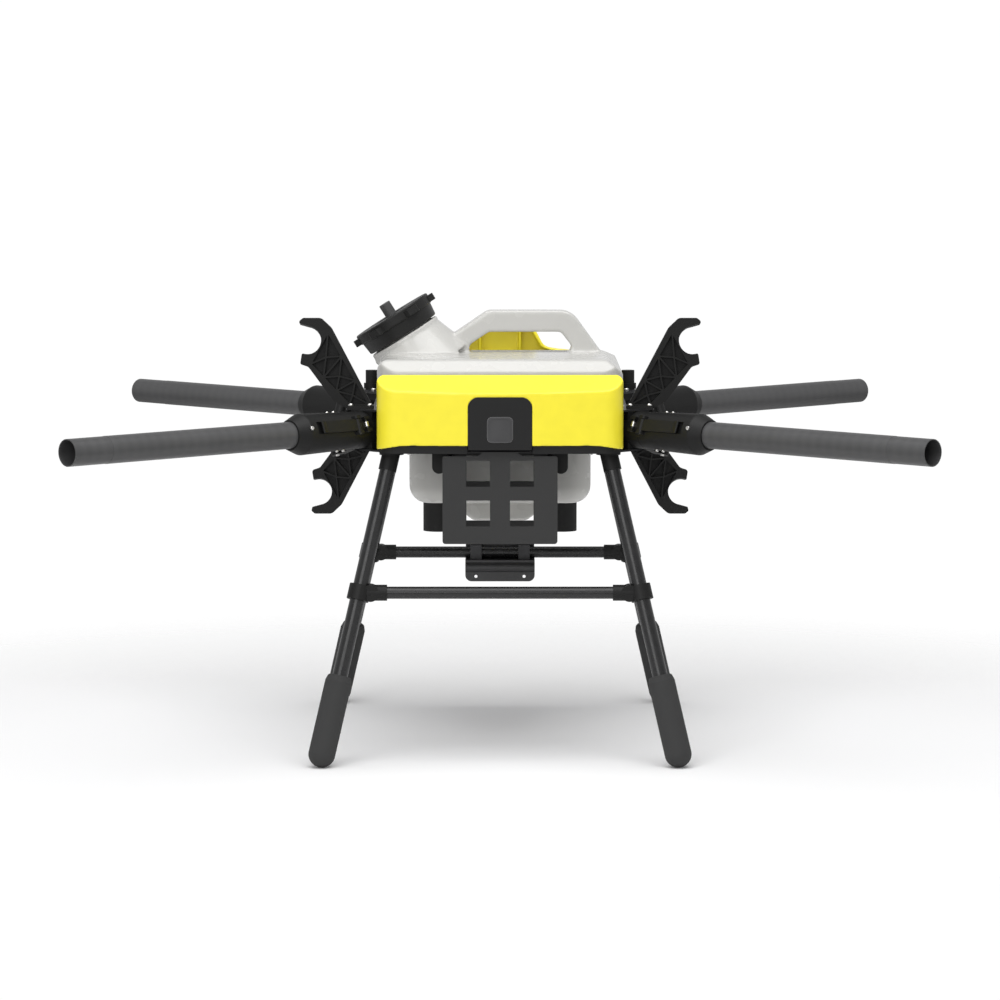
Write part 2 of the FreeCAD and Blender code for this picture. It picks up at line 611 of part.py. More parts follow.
def make_rear_shell():
    """The yellow tail cover: a thin upright wall with a central hump and two inner ribs."""
    body = new_body("rear_cover")
    hump = size("hump_top")
    shoulder = size("shell_top")
    low = size("arm_z") - size("plate_gap") / 2 - size("plate_thick") + 0.1
    half = size("rear_shell_half")
    wall = sketch_on(body, "RearOutline", "XZ_Plane", "-rear_shell_y")
    draw_outline(wall, [(-half, low), (half, low), (half, shoulder, 10), (80, shoulder + 7, 20),
                        (62, shoulder + 10, 16), (44, hump, 14), (-44, hump, 14), (-62, shoulder + 10, 16),
                        (-80, shoulder + 7, 20), (-half, shoulder, 10)])
    back = pad(body, "RearWall", wall, "rear_shell_depth", reverse=True)
    outer = size("rear_shell_y") + size("rear_shell_depth") - 0.1
    round_edges(body, "RearRounding", back, "rear_shell_round",
                lambda middle: middle.y > outer and middle.z > low + 1)
    hollow = sketch_on(body, "RearHollow", "XZ_Plane", "-rear_shell_y")
    inset = size("rear_rim")
    side = half - size("shell_wall")
    draw_outline(hollow, [(-side, low - 5), (side, low - 5), (side, shoulder - 1 - inset, 8),
                          (78, shoulder + 7 - inset, 20), (58, shoulder + 9, 14), (41, hump - inset, 12),
                          (-41, hump - inset, 12), (-58, shoulder + 9, 14), (-78, shoulder + 7 - inset, 20),
                          (-side, shoulder - 1 - inset, 8)])
    pocket(body, "RearRecess", hollow, "rear_shell_depth - shell_wall")
    ribs = sketch_on(body, "RearRibs", "XZ_Plane", "-rear_shell_y")
    for x in (-28, 28):
        draw_outline(ribs, [(x - 1, 470), (x + 1, 470), (x + 1, hump - 1), (x - 1, hump - 1)])
    pad(body, "RearRibPad", ribs, "rear_shell_depth - 1", reverse=True)


def make_camera_panel():
    """The black panel in the middle of the nose, with a hole for the camera."""
    body = new_body("camera_panel")
    half = size("panel_half")
    sketch = sketch_on(body, "PanelSketch", "XZ_Plane")
    corner = size("panel_corner")
    draw_outline(sketch, [(-half, size("panel_low")), (-half, size("panel_top"), corner),
                          (half, size("panel_top"), corner), (half, size("panel_low"))])
    pad(body, "PanelPad", sketch, "panel_thick")
    window = sketch_on(body, "PanelWindow", "XZ_Plane")
    draw_outline(window, camera_outline(0.05))
    pocket(body, "PanelHole", window)
    body.Placement = Placement(Vector(0, -size("shell_front") + 4.5, 0), Rotation())


def camera_outline(grow):
    """The rounded square of the camera housing."""
    wide = size("camera_width") / 2 + grow
    high = size("camera_height") / 2 + grow
    z = size("camera_z")
    return [(-wide, z - high, 6), (-wide, z + high, 6), (wide, z + high, 6), (wide, z - high, 6)]


def make_camera():
    """The nose camera: housing with a recessed window."""
    body = new_body("nose_camera")
    sketch = sketch_on(body, "CameraSketch", "XZ_Plane")
    draw_outline(sketch, camera_outline(0))
    pad(body, "CameraPad", sketch, "22")
    face = sketch_on(body, "CameraFace", "XZ_Plane", "22")
    draw_outline(face, camera_outline(-2))
    pocket(body, "CameraRecess", face, "1.2")
    body.Placement = Placement(Vector(0, -size("shell_front") + 19.8, 0), Rotation())


# ---------------------------------------------------------------- equipment cage under the nose
def make_cage_plate(label, y):
    """A flat grid plate with four windows and a tab that enters the lower plate."""
    body = new_body(label)
    half = size("cage_half")
    low = size("cage_low")
    high = size("cage_high")
    tab = size("cage_tab_half")
    sketch = sketch_on(body, label + "_outline", "XZ_Plane")
    tab_top = size("arm_z") - size("plate_gap") / 2
    draw_outline(sketch, [(-half, low, 4), (-half, high, 3), (-tab - 7, high), (-tab, high + 3), (-tab, tab_top),
                          (tab, tab_top), (tab, high + 3), (tab + 7, high), (half, high, 3), (half, low, 4)])
    pad(body, label + "_sheet", sketch, "cage_sheet")
    windows = sketch_on(body, label + "_windows", "XZ_Plane")
    wide = size("cage_window") / 2
    tall = size("cage_window_high") / 2
    for x in (-size("cage_window_x"), size("cage_window_x")):
        for z in (low + 40, high - 23):
            draw_outline(windows, [(x - wide, z - tall), (x - wide, z + tall),
                                   (x + wide, z + tall), (x + wide, z - tall)])
    pocket(body, label + "_cutouts", windows)
    body.Placement = Placement(Vector(0, y + size("cage_sheet"), 0), Rotation())


def make_cage():
    """The two grid plates, the spacers between them and the brackets that hang them."""
    front = -size("cage_front")
    back = front + size("cage_depth")
    make_cage_plate("cage_front_plate", front)
    make_cage_plate("cage_rear_plate", back)
    start = front + size("cage_sheet")
    things = []
    for x in (-66, 66):
        for z in (size("cage_low") + 9, size("cage_high") - 9):
            things.append(cylinder(f"CageSpacer_{x}_{z:.0f}", "cage_spacer_rad", "cage_depth - cage_sheet",
                                   Vector(x, start, z), Vector(0, 1, 0)))
    top = size("arm_z") - size("plate_gap") / 2 - size("plate_thick")
    for side in (-1, 1):
        ear = cylinder(f"HangerEar_{side}", "9", "10", Vector(side * 80, -200, top - 20), Vector(0, 1, 0))
        stem = box(f"HangerStem_{side}", ("18", "10", "20"), Vector(side * 80 - 9, -200, top - 20))
        things.append(fuse(f"Hanger_{side}", [ear, stem]))
    name_part(group("CageBrackets", things), "cage_brackets")


# ---------------------------------------------------------------- tank, cap and pumps
def make_tank():
    """The plug-in liquid tank: shoulder body, well, sump, filler neck and carrying handle, hollow inside."""
    body = new_body("tank")
    half = size("tank_half")
    top = size("tank_top")
    reach = size("tank_depth") / 2
    shoulder = sketch_on(body, "ShoulderSketch", "XY_Plane", "arm_z + plate_gap / 2 + plate_thick + 0.3 + tank_foot")
    draw_outline(shoulder, [(-half, -reach, 30), (half, -reach, 30), (half, reach, 30), (-half, reach, 30)])
    pad(body, "Shoulder", shoulder, "tank_top - arm_z - plate_gap / 2 - plate_thick - 0.3 - tank_foot")
    feet = sketch_on(body, "ShoulderFeet", "XY_Plane", "arm_z + plate_gap / 2 + plate_thick + 0.3")
    for x in (-142, 142):
        for y in (-70, 70):
            draw_outline(feet, [(x - 12, y - 20), (x + 12, y - 20), (x + 12, y + 20), (x - 12, y + 20)])
    pad(body, "ShoulderFootPads", feet, "tank_foot + 1")
    bevels = sketch_on(body, "ShoulderBevelSketch", "XZ_Plane")
    draw_outline(bevels, [(half - 26, top), (half - 22, top, 12), (half, top - 17, 12), (half, top - 32),
                          (half + 3, top - 32), (half + 3, top + 3), (half - 26, top + 3)])
    draw_outline(bevels, [(-half + 22, top), (-half, top, 16), (-half, top - 22), (-half - 3, top - 22),
                          (-half - 3, top + 3), (-half + 22, top + 3)])
    pocket(body, "ShoulderBevels", bevels)
    brows = sketch_on(body, "ShoulderBrowSketch", "YZ_Plane")
    slope = size("tank_slope")
    draw_outline(brows, [(-reach + 30, top), (-reach + 18, top, 8), (-reach, top - 15, 6), (-reach, top - 32),
                         (-reach - 3, top - 32), (-reach - 3, top + 3), (-reach + 30, top + 3)])
    draw_outline(brows, [(30, top), (reach - 3, top - slope, 6), (reach, top - slope - 14),
                         (reach + 3, top - slope - 14), (reach + 3, top + 3), (30, top + 3)])
    pocket(body, "ShoulderBrows", brows)
    well = sketch_on(body, "WellSketch", "XY_Plane", "tank_well_low")
    wide = size("tank_well_half")
    deep = size("tank_well_depth") / 2
    draw_outline(well, [(-wide, -deep, 30), (wide, -deep, 30), (wide, deep, 30), (-wide, deep, 30)])
    base = pad(body, "Well", well, "tank_top - tank_well_low - 30")
    low = size("tank_well_low")
    round_edges(body, "WellFloor", base, "well_floor_rad", lambda middle: abs(middle.z - low) < 0.01)
    sump = sketch_on(body, "SumpSketch", "XZ_Plane")
    side = size("sump_half")
    floor = size("sump_floor_half")
    draw_outline(sump, [(-side, low + 12), (-side, low - 4), (-floor, size("sump_low"), 8),
                        (floor, size("sump_low"), 8), (side, low - 4), (side, low + 12)])
    pad(body, "Sump", sump, "sump_depth", midplane=True)
    add_handle(body)
    add_neck(body)
    hollow_tank(body)


def add_handle(body):
    """The carrying handle, a bar with a hand window under it."""
    top = size("tank_top")
    outline = sketch_on(body, "HandleSketch", "XZ_Plane")
    draw_outline(outline, [(-92, top - 30), (-72, top + 19, 6), (-61, top + 26, 8), (-17, top + 56, 14),
                           (96, top + 56, 30), (138, top - 2, 6), (150, top - 30)])
    pad(body, "Handle", outline, "handle_half * 2", midplane=True)
    window = sketch_on(body, "HandleWindow", "XZ_Plane")
    draw_outline(window, [(-42, top - 1, 4), (-41, top + 10, 6), (-15, top + 27.5, 8), (82, top + 27.5, 8),
                          (97, top + 8, 6), (93, top - 1, 4)])
    pocket(body, "HandleGap", window, "handle_half * 2 + 2", midplane=True)


def cap_placement(lift):
    """A placement on the neck's tilted axis, with a distance below the cap's middle."""
    tilt = math.radians(size("cap_tilt_deg"))
    axis = Vector(-math.sin(tilt), 0, math.cos(tilt))
    centre = Vector(size("cap_x"), 0, size("cap_z"))
    return Placement(centre + axis * lift, Rotation(Vector(0, 0, 1), axis))


def add_neck(body):
    """The tilted filler neck with its stepped rings."""
    neck = body.newObject("PartDesign::AdditiveCone", "NeckCone")
    bind(neck, "Radius1", "neck_rad + 26")
    bind(neck, "Radius2", "neck_rad + 7")
    neck.Height = 52
    neck.Placement = cap_placement(-72)
    ring = body.newObject("PartDesign::AdditiveCylinder", "NeckRing")
    bind(ring, "Radius", "neck_rad + 9")
    ring.Height = 4
    ring.Placement = cap_placement(-21.5)
    spout = body.newObject("PartDesign::AdditiveCylinder", "NeckSpout")
    bind(spout, "Radius", "neck_rad")
    spout.Height = 24.9
    spout.Placement = cap_placement(-18)
    trim = sketch_on(body, "NeckTrimSketch", "XZ_Plane")
    half = size("tank_half")
    draw_outline(trim, [(-half - 80, 430), (-half, 430), (-half, 505), (-half - 80, 505)])
    body.Tip = spout
    doc.recompute()
    pocket(body, "NeckTrim", trim)


def hollow_tank(body):
    """Take the liquid space out of the tank."""
    wall = size("tank_wall")
    half = size("tank_half") - wall
    reach = size("tank_depth") / 2 - wall
    wide = size("tank_well_half") - wall
    deep = size("tank_well_depth") / 2 - wall
    floor_level = "arm_z + plate_gap / 2 + plate_thick + 0.3 + tank_foot + tank_wall"
    upper = sketch_on(body, "UpperHollow", "XY_Plane", floor_level)
    draw_outline(upper, [(-half, -reach, 27), (half, -reach, 27), (half, reach, 27), (-half, reach, 27)])
    pocket(body, "UpperSpace", upper, f"tank_top - tank_slope - tank_wall - 5 - ({floor_level})", reverse=True)
    crown = sketch_on(body, "CrownHollow", "YZ_Plane")
    roof = size("tank_top") - wall
    sloped = roof - size("tank_slope")
    draw_outline(crown, [(-reach + 20, sloped - 8), (-reach + 20, roof, 4), (28, roof), (reach - 12, sloped + 1, 4),
                         (reach - 12, sloped - 8)])
    pocket(body, "CrownSpace", crown, "(tank_half - 32) * 2", midplane=True)
    fillet = size("well_floor_rad")
    for name, inset, lift in (("Lower", 0, "tank_well_low + well_floor_rad"),
                              ("Floor", fillet - 2, "tank_well_low + tank_wall")):
        sketch = sketch_on(body, name + "Hollow", "XY_Plane", lift)
        x, y = wide - inset, deep - inset
        draw_outline(sketch, [(-x, -y, 27), (x, -y, 27), (x, y, 27), (-x, y, 27)])
        pocket(body, name + "Space", sketch, "arm_z + plate_gap / 2 + plate_thick + 8 - (" + lift + ")", reverse=True)
    sump = sketch_on(body, "SumpHollow", "XZ_Plane")
    low = size("tank_well_low")
    side = size("sump_half") - wall
    floor = size("sump_floor_half") - 1
    draw_outline(sump, [(-side, low + 15), (-side, low - 3), (-floor, size("sump_low") + wall, 6),
                        (floor, size("sump_low") + wall, 6), (side, low - 3), (side, low + 15)])
    pocket(body, "SumpSpace", sump, "sump_depth - tank_wall * 2", midplane=True)
    bore = body.newObject("PartDesign::SubtractiveCylinder", "NeckBore")
    bind(bore, "Radius", "neck_bore_rad")
    bore.Height = 99
    bore.Placement = cap_placement(-85)
    body.Tip = bore


def make_cap():
    """The black screw cap with grip lugs, its gasket and the vent knob in its middle."""
    body = new_body("tank_cap")
    half = size("cap_high") / 2
    profile = sketch_on(body, "CapProfile", "XZ_Plane")
    ring_low = half - size("cap_ring_high")
    inner = size("neck_rad") + 1
    draw_outline(profile, [(0, half - 3), (20, half - 3), (24, half), (size("cap_ring_rad"), half, 2),
                           (size("cap_ring_rad"), ring_low, 2), (size("cap_rad"), ring_low),
                           (size("cap_rad") - 2, -half, 2), (inner, -half), (inner, half - 6), (0, half - 6)])
    revolve(body, "CapSkin", profile, "V_Axis")
    lug = sketch_on(body, "CapLugSketch", "XY_Plane", "cap_high / 2 - cap_ring_high + 1")
    inside = size("cap_ring_rad") - 2
    outside = size("cap_lug_rad")
    draw_outline(lug, [(inside, -11), (outside, -8, 3), (outside, 8, 3), (inside, 11)])
    first = pad(body, "CapLug", lug, "cap_ring_high - 5")
    doc.recompute()
    ring = body.newObject("PartDesign::PolarPattern", "CapLugs")
    ring.Originals = [first]
    ring.Axis = (lug, ["N_Axis"])
    ring.Angle = 360
    bind(ring, "Occurrences", "cap_lugs")
    body.Tip = ring
    body.Placement = cap_placement(0)
    washer = tube("CapGasketRing", "neck_rad - 1", "neck_bore_rad + 1", "2", Vector(0, 0, half - 8.3), Vector(0, 0, 1))
    name_part(washer, "cap_gasket").Placement = cap_placement(0)
    knob = new_body("vent_knob")
    stem = sketch_on(knob, "KnobSketch", "XY_Plane", "cap_high / 2 - 3")
    draw_circle(stem, (0, 0), "8")
    top = pad(knob, "KnobPad", stem, "21")
    round_edges(knob, "KnobEdge", top, "1.2", lambda middle: middle.z > half + 17)
    knob.Placement = cap_placement(0)


def make_outlet():
    """The hose coupling at the back of the sump."""
    start = Vector(0, size("sump_depth") / 2, 312)
    flange = cylinder("OutletFlange", "10", "4", start, Vector(0, 1, 0))
    nipple = cylinder("OutletNipple", "6", "20", start, Vector(0, 1, 0))
    bore = cylinder("OutletBore", "4", "24", start, Vector(0, 1, 0))
    name_part(cut("Outlet", fuse("OutletSkin", [flange, nipple]), bore), "tank_outlet")


def make_pumps():
    """Two upright pumps hung from the lower plate behind the tank's well."""
    things = []
    top = size("arm_z") - size("plate_gap") / 2 - size("plate_thick")
    for side in (-1, 1):
        start = Vector(side * size("pump_x"), size("pump_y"), size("pump_low"))
        motor = cylinder(f"PumpBody_{side}", "pump_rad", "arm_z - plate_gap / 2 - plate_thick - pump_low - 30", start)
        head = box(f"PumpHead_{side}", ("46", "46", "30"), start + Vector(-23, -23, top - size("pump_low") - 30))
        things.append(fuse(f"Pump_{side}", [motor, head]))
    name_part(group("Pumps", things), "pumps")


def make_posts():
    """Two stepped antenna posts at the tail corners."""
    things = []
    base = size("arm_z") + size("plate_gap") / 2 + size("plate_thick")
    for side in (-1, 1):
        foot = Vector(side * size("post_x"), size("post_y"), base)
        lower = cylinder(f"PostFoot_{side}", "post_foot_rad", "post_step - arm_z - plate_gap / 2 - plate_thick", foot)
        upper = cylinder(f"PostTop_{side}", "post_rad", "post_top - arm_z - plate_gap / 2 - plate_thick", foot)
        things.append(fuse(f"Post_{side}", [lower, upper]))
    name_part(group("Posts", things), "antenna_posts")


def make_electronics():
    """Flight controller and power board on the lower plate, in front of the tank."""
    floor = size("arm_z") - size("plate_gap") / 2
    controller = box("Controller", ("74", "46", "24"), Vector(-37, -200, floor + 0.1))
    name_part(controller, "flight_controller")
    board = box("Board", ("52", "58", "3"), Vector(52, -192, floor + 4))
    plugs = [cylinder(f"BoardFoot_{index}", "3", "4", Vector(x, y, floor + 0.1))
             for index, (x, y) in enumerate([(57, -187), (99, -187), (57, -139), (99, -139)])]
    cap = box("BoardHub", ("30", "30", "12"), Vector(63, -178, floor + 6))
    name_part(fuse("PowerBoard", [board, cap] + plugs), "power_board")


# ---------------------------------------------------------------- landing gear
def leg_line(side, end):
    """The top point of one leg and its direction, downwards."""
    plate_low = size("arm_z") - size("plate_gap") / 2 - size("plate_thick")
    top = Vector(side * size("leg_top_x"), end * size("leg_top_y"), plate_low)
    foot = Vector(side * size("leg_foot_x"), end * size("leg_foot_y"), size("boot_rad"))
    return top, (foot - top).normalize(), (foot - top).Length


def make_legs():
    """Four splayed legs with their boots and the sockets under the lower plate."""
    sockets = []
    for corner, (side, end) in CORNERS.items():
        top, down, length = leg_line(side, end)
        leg = tube(f"Leg_{corner}", "leg_dia / 2", "leg_dia / 2 - leg_wall", f"{length - 12:.6f}",
                   top + down * 6, down)
        name_part(leg, f"{corner}_leg_tube")
        make_boot(corner, top + down * length, down)
        flat = Vector(0, 0, 1)
        ring = cylinder(f"SocketRing_{corner}", "socket_rad", "socket_length + 8", top - down * 8, down)
        hole = cylinder(f"SocketHole_{corner}", "leg_dia / 2 + 0.05", "socket_length + 20", top + down * 5.5, down)
        trim = box(f"SocketTrim_{corner}", ("90", "90", "40"), top - Vector(45, 45, 0))
        flange = cylinder(f"SocketFlange_{corner}", "16", "4", top - flat * 4)
        skin = fuse(f"SocketSkin_{corner}", [ring, flange])
        sockets.append(cut(f"Socket_{corner}", skin, fuse(f"SocketTools_{corner}", [hole, trim])))
    name_part(group("LegSockets", sockets), "leg_sockets")


def make_boot(corner, foot, down):
    """A rubber boot, rounded on the ground and tapered at its top."""
    body = new_body(f"{corner}_leg_boot")
    radius = size("boot_rad")
    length = size("boot_length")
    bore = size("leg_dia") / 2 + 0.05
    profile = sketch_on(body, f"BootProfile_{corner}", "XZ_Plane")
    draw_outline(profile, [(0, -radius), (radius, -radius, radius - 0.01), (radius, length - 8),
                           (radius - 2.5, length, 2), (bore, length), (bore, 5.5), (0, 5.5)])
    revolve(body, f"BootSkin_{corner}", profile, "V_Axis")
    body.Placement = Placement(foot, Rotation(Vector(0, 0, -1), down))


def make_crossbars():
    """The bars that tie the legs together at the nose and at the tail, with their clamps."""
    clamps = []
    for name, end in (("front", -1), ("rear", 1)):
        top, down, _ = leg_line(1, end)
        cross = top + down * ((size("bar_z") - top.z) / down.z)
        reach = cross.x - size("clamp_rad") - 3
        bar = tube(f"Crossbar_{name}", "bar_dia / 2", "bar_dia / 2 - bar_wall", f"{2 * reach:.6f}",
                   Vector(-reach, cross.y, cross.z), Vector(1, 0, 0))
        name_part(bar, f"{name}_crossbar")
        for side in (-1, 1):
            clamps.append(make_bar_clamp(name, side, end, reach))
    name_part(group("CrossbarClamps", clamps), "crossbar_clamps")


def make_bar_clamp(name, side, end, reach):
    """A clamp round a leg with a sleeve for the crossbar."""
    top, down, _ = leg_line(side, end)
    cross = top + down * ((size("bar_z") - top.z) / down.z)
    tag = f"{name}_{side}"
    high = size("clamp_high")
    ring = cylinder(f"ClampRing_{tag}", "clamp_rad", "clamp_high", cross - down * (high / 2), down)
    sleeve_start = Vector(side * (reach - size("sleeve_length") + 3), cross.y, cross.z)
    sleeve = cylinder(f"ClampSleeve_{tag}", "sleeve_rad", "sleeve_length + 8", sleeve_start, Vector(side, 0, 0))
    knuckle = cylinder(f"ClampKnuckle_{tag}", "11", "20", cross - Vector(side * 15, 10, 0), Vector(0, 1, 0))
    leg_hole = cylinder(f"ClampLegHole_{tag}", "leg_dia / 2 + 0.05", "60", cross - down * 30, down)
    bar_hole = cylinder(f"ClampBarHole_{tag}", "bar_dia / 2 + 0.05", "sleeve_length - 1.5",
                        sleeve_start - Vector(side, 0, 0), Vector(side, 0, 0))
    skin = fuse(f"ClampSkin_{tag}", [ring, sleeve, knuckle])
    return cut(f"Clamp_{tag}", skin, fuse(f"ClampTools_{tag}", [leg_hole, bar_hole]))


def make_radar_bracket():
    """The folded sheet on the rear crossbar that takes a downward sensor."""
    top, down, _ = leg_line(1, 1)
    bar_y = (top + down * ((size("bar_z") - top.z) / down.z)).y
    body = new_body("radar_bracket")
    half = size("radar_half")
    front = bar_y - 22
    sheet_thick = size("radar_sheet")
    low = size("radar_low")
    face = sketch_on(body, "BracketFace", "XZ_Plane")
    draw_outline(face, [(-half, low, 9), (half, low, 9), (half, 213), (-half, 213)])
    pad(body, "BracketSheet", face, "radar_sheet")
    shelf = sketch_on(body, "BracketShelfSketch", "YZ_Plane")
    saddle = size("bar_dia") / 2 + 0.1
    z = size("bar_z")
    draw_outline(shelf, [(-sheet_thick, 210.5), (bar_y - front + 12, 210.5), (bar_y - front + 12, 213),
                         (-sheet_thick, 213)])
    pad(body, "BracketShelf", shelf, "radar_half * 2", midplane=True)
    bead = sketch_on(body, "BracketBeadSketch", "YZ_Plane")
    draw_circle(bead, (-1, 203), "radar_bead_rad")
    pad(body, "BracketBead", bead, "radar_half * 2", midplane=True)
    holes = sketch_on(body, "BracketHoleSketch", "XZ_Plane")
    for x in (-size("radar_hole_x"), size("radar_hole_x")):
        draw_circle(holes, (x, size("radar_hole_z")), "radar_hole_rad")
    pocket(body, "BracketHoles", holes)
    body.Placement = Placement(Vector(0, front, 0), Rotation())
    clamps = []
    for x in (-size("radar_hole_x"), size("radar_hole_x")):
        block = box(f"RadarClampBlock_{x:.0f}", ("16", "26", "20"), Vector(x - 8, bar_y - 13, 213.1))
        bore = cylinder(f"RadarClampBore_{x:.0f}", "bar_dia / 2 + 0.05", "20", Vector(x - 10, bar_y, z), Vector(1, 0, 0))
        clamps.append(cut(f"RadarClamp_{x:.0f}", block, bore))
    name_part(group("RadarClamps", clamps), "radar_clamps")


# ---------------------------------------------------------------- build, check, export
def build():
    """Make every sub-part."""
    low = size("arm_z") - size("plate_gap") / 2 - size("plate_thick")
    make_plate("bottom_plate", low)
    make_plate("top_plate", size("arm_z") + size("plate_gap") / 2)
    make_spacers()
    make_frame_screws()
    for corner, arm in ARMS.items():
        make_arm_base(corner, arm)
        make_arm_holder(corner, arm)
        make_arm_tube(corner, arm)
        make_latch_lever(corner, arm)
        make_arm_fasteners(corner, arm)
    make_joint_pins()
    make_arm_clips()
    make_front_shell()
    make_rear_shell()
    make_camera_panel()
    make_camera()
    make_cage()
    make_tank()
    make_cap()
    make_outlet()
    make_pumps()
    make_posts()
    make_electronics()
    make_legs()
    make_crossbars()
    make_radar_bracket()


def check():
    """Stop if any object failed or any sub-part has no sound solid."""
    for thing in doc.Objects:
        if "Invalid" in thing.State or "Error" in thing.State:
            raise RuntimeError(f"{thing.Label} failed: {thing.State}")
    for thing in sub_parts:
        if thing.Shape.isNull() or not thing.Shape.isValid() or not thing.Shape.Solids:
            raise RuntimeError(f"{thing.Label} has no sound shape")


def export():
    """Write one STEP file for each sub-part."""
    os.makedirs("parts", exist_ok=True)
    for thing in sub_parts:
        thing.Shape.exportStep(f"parts/{thing.Label}.step")


build()
doc.recompute()
check()
export()
print(len(sub_parts), "sub-parts written")
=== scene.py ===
"""Folding sprayer drone airframe: finishes, fasteners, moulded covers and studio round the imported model."""
import json
import logging
import math
from collections.abc import Iterable, Sequence
from dataclasses import dataclass, field
from enum import Enum

import bmesh
import bpy
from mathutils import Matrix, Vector


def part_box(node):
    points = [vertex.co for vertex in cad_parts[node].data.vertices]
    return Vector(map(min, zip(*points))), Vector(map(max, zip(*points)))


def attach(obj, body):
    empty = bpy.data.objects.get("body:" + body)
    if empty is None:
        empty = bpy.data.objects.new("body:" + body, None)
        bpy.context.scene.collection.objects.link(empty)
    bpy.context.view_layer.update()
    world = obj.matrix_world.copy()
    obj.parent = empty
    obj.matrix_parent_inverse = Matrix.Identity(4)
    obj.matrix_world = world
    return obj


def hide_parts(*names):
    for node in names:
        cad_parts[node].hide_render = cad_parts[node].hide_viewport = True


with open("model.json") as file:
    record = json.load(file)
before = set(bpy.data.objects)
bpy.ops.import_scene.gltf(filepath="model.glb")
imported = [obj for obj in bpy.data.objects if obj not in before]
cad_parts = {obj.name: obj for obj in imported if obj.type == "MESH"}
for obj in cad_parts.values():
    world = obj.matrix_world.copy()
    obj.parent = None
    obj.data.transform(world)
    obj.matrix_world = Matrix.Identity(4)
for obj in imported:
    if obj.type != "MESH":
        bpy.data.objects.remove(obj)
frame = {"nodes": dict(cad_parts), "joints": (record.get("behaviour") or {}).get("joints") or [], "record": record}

log = logging.getLogger("airframe")
CORNERS = ("front_left", "front_right", "rear_left", "rear_right")
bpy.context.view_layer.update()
CLOUD_SCALE = 17.0
WINDS_ROUND = 3.0
WINDS_ALONG = 190.0
SCUFF_SCALE = 60.0
TONE_LOW, TONE_HIGH = 0.3, 0.7
GLOW_DEPTH = 0.004
GLOW_RADII = (1.0, 0.95, 0.85)
WELD = 2e-6


# ---------------------------------------------------------------- finishes
class Pattern(Enum):
    """How the surface of a finish is broken up."""

    MOULDED = "fine moulded grain"
    WOUND = "fibre wound round a tube"
    WOVEN = "square woven cloth under resin"
    COATED = "fine powder coat"
    SATIN = "smooth moulding with a faint ripple"
    MILKY = "cloudy blow moulding"
    RUBBER = "rubber with scuffs"
    BRUSHED = "metal brushed one way"
    BOARD = "circuit board"


@dataclass(frozen=True)
class Axis:
    """The line that a wound or brushed pattern runs along."""

    point: tuple[float, float, float] = (0.0, 0.0, 0.0)
    along: tuple[float, float, float] = (0.0, 0.0, 1.0)

    def turn(self) -> tuple[float, float, float]:
        """Find the turn that takes Z onto this line.

        Returns:
            The turn, as Euler angles.
        """
        return tuple(Vector(self.along).to_track_quat("Z", "Y").to_euler())


class Graph:
    """Adds nodes to a tree and joins their sockets."""

    def __init__(self, tree: bpy.types.NodeTree) -> None:
        """Start on an empty tree.

        Args:
            tree: The shader or geometry tree to fill.
        """
        self.tree = tree
        tree.nodes.clear()

    def add(self, kind: str, inputs: dict | None = None, **settings: object) -> bpy.types.Node:
        """Add one node.

        Args:
            kind: The node's type name.
            inputs: Values or sockets for its inputs, by name or index.
            **settings: Properties of the node.

        Returns:
            The new node.
        """
        node = self.tree.nodes.new(kind)
        for key, value in settings.items():
            setattr(node, key, value)
        for key, value in (inputs or {}).items():
            if isinstance(value, bpy.types.NodeSocket):
                self.tree.links.new(value, node.inputs[key])
            else:
                node.inputs[key].default_value = value
        return node

    def math(self, operation: str, first: object, second: object = 0.5) -> bpy.types.NodeSocket:
        """Do one sum on two numbers or sockets.

        Args:
            operation: The name of the sum.
            first: The first number or socket.
            second: The second number or socket.

        Returns:
            The socket with the answer.
        """
        return self.add("ShaderNodeMath", {0: first, 1: second}, operation=operation).outputs[0]


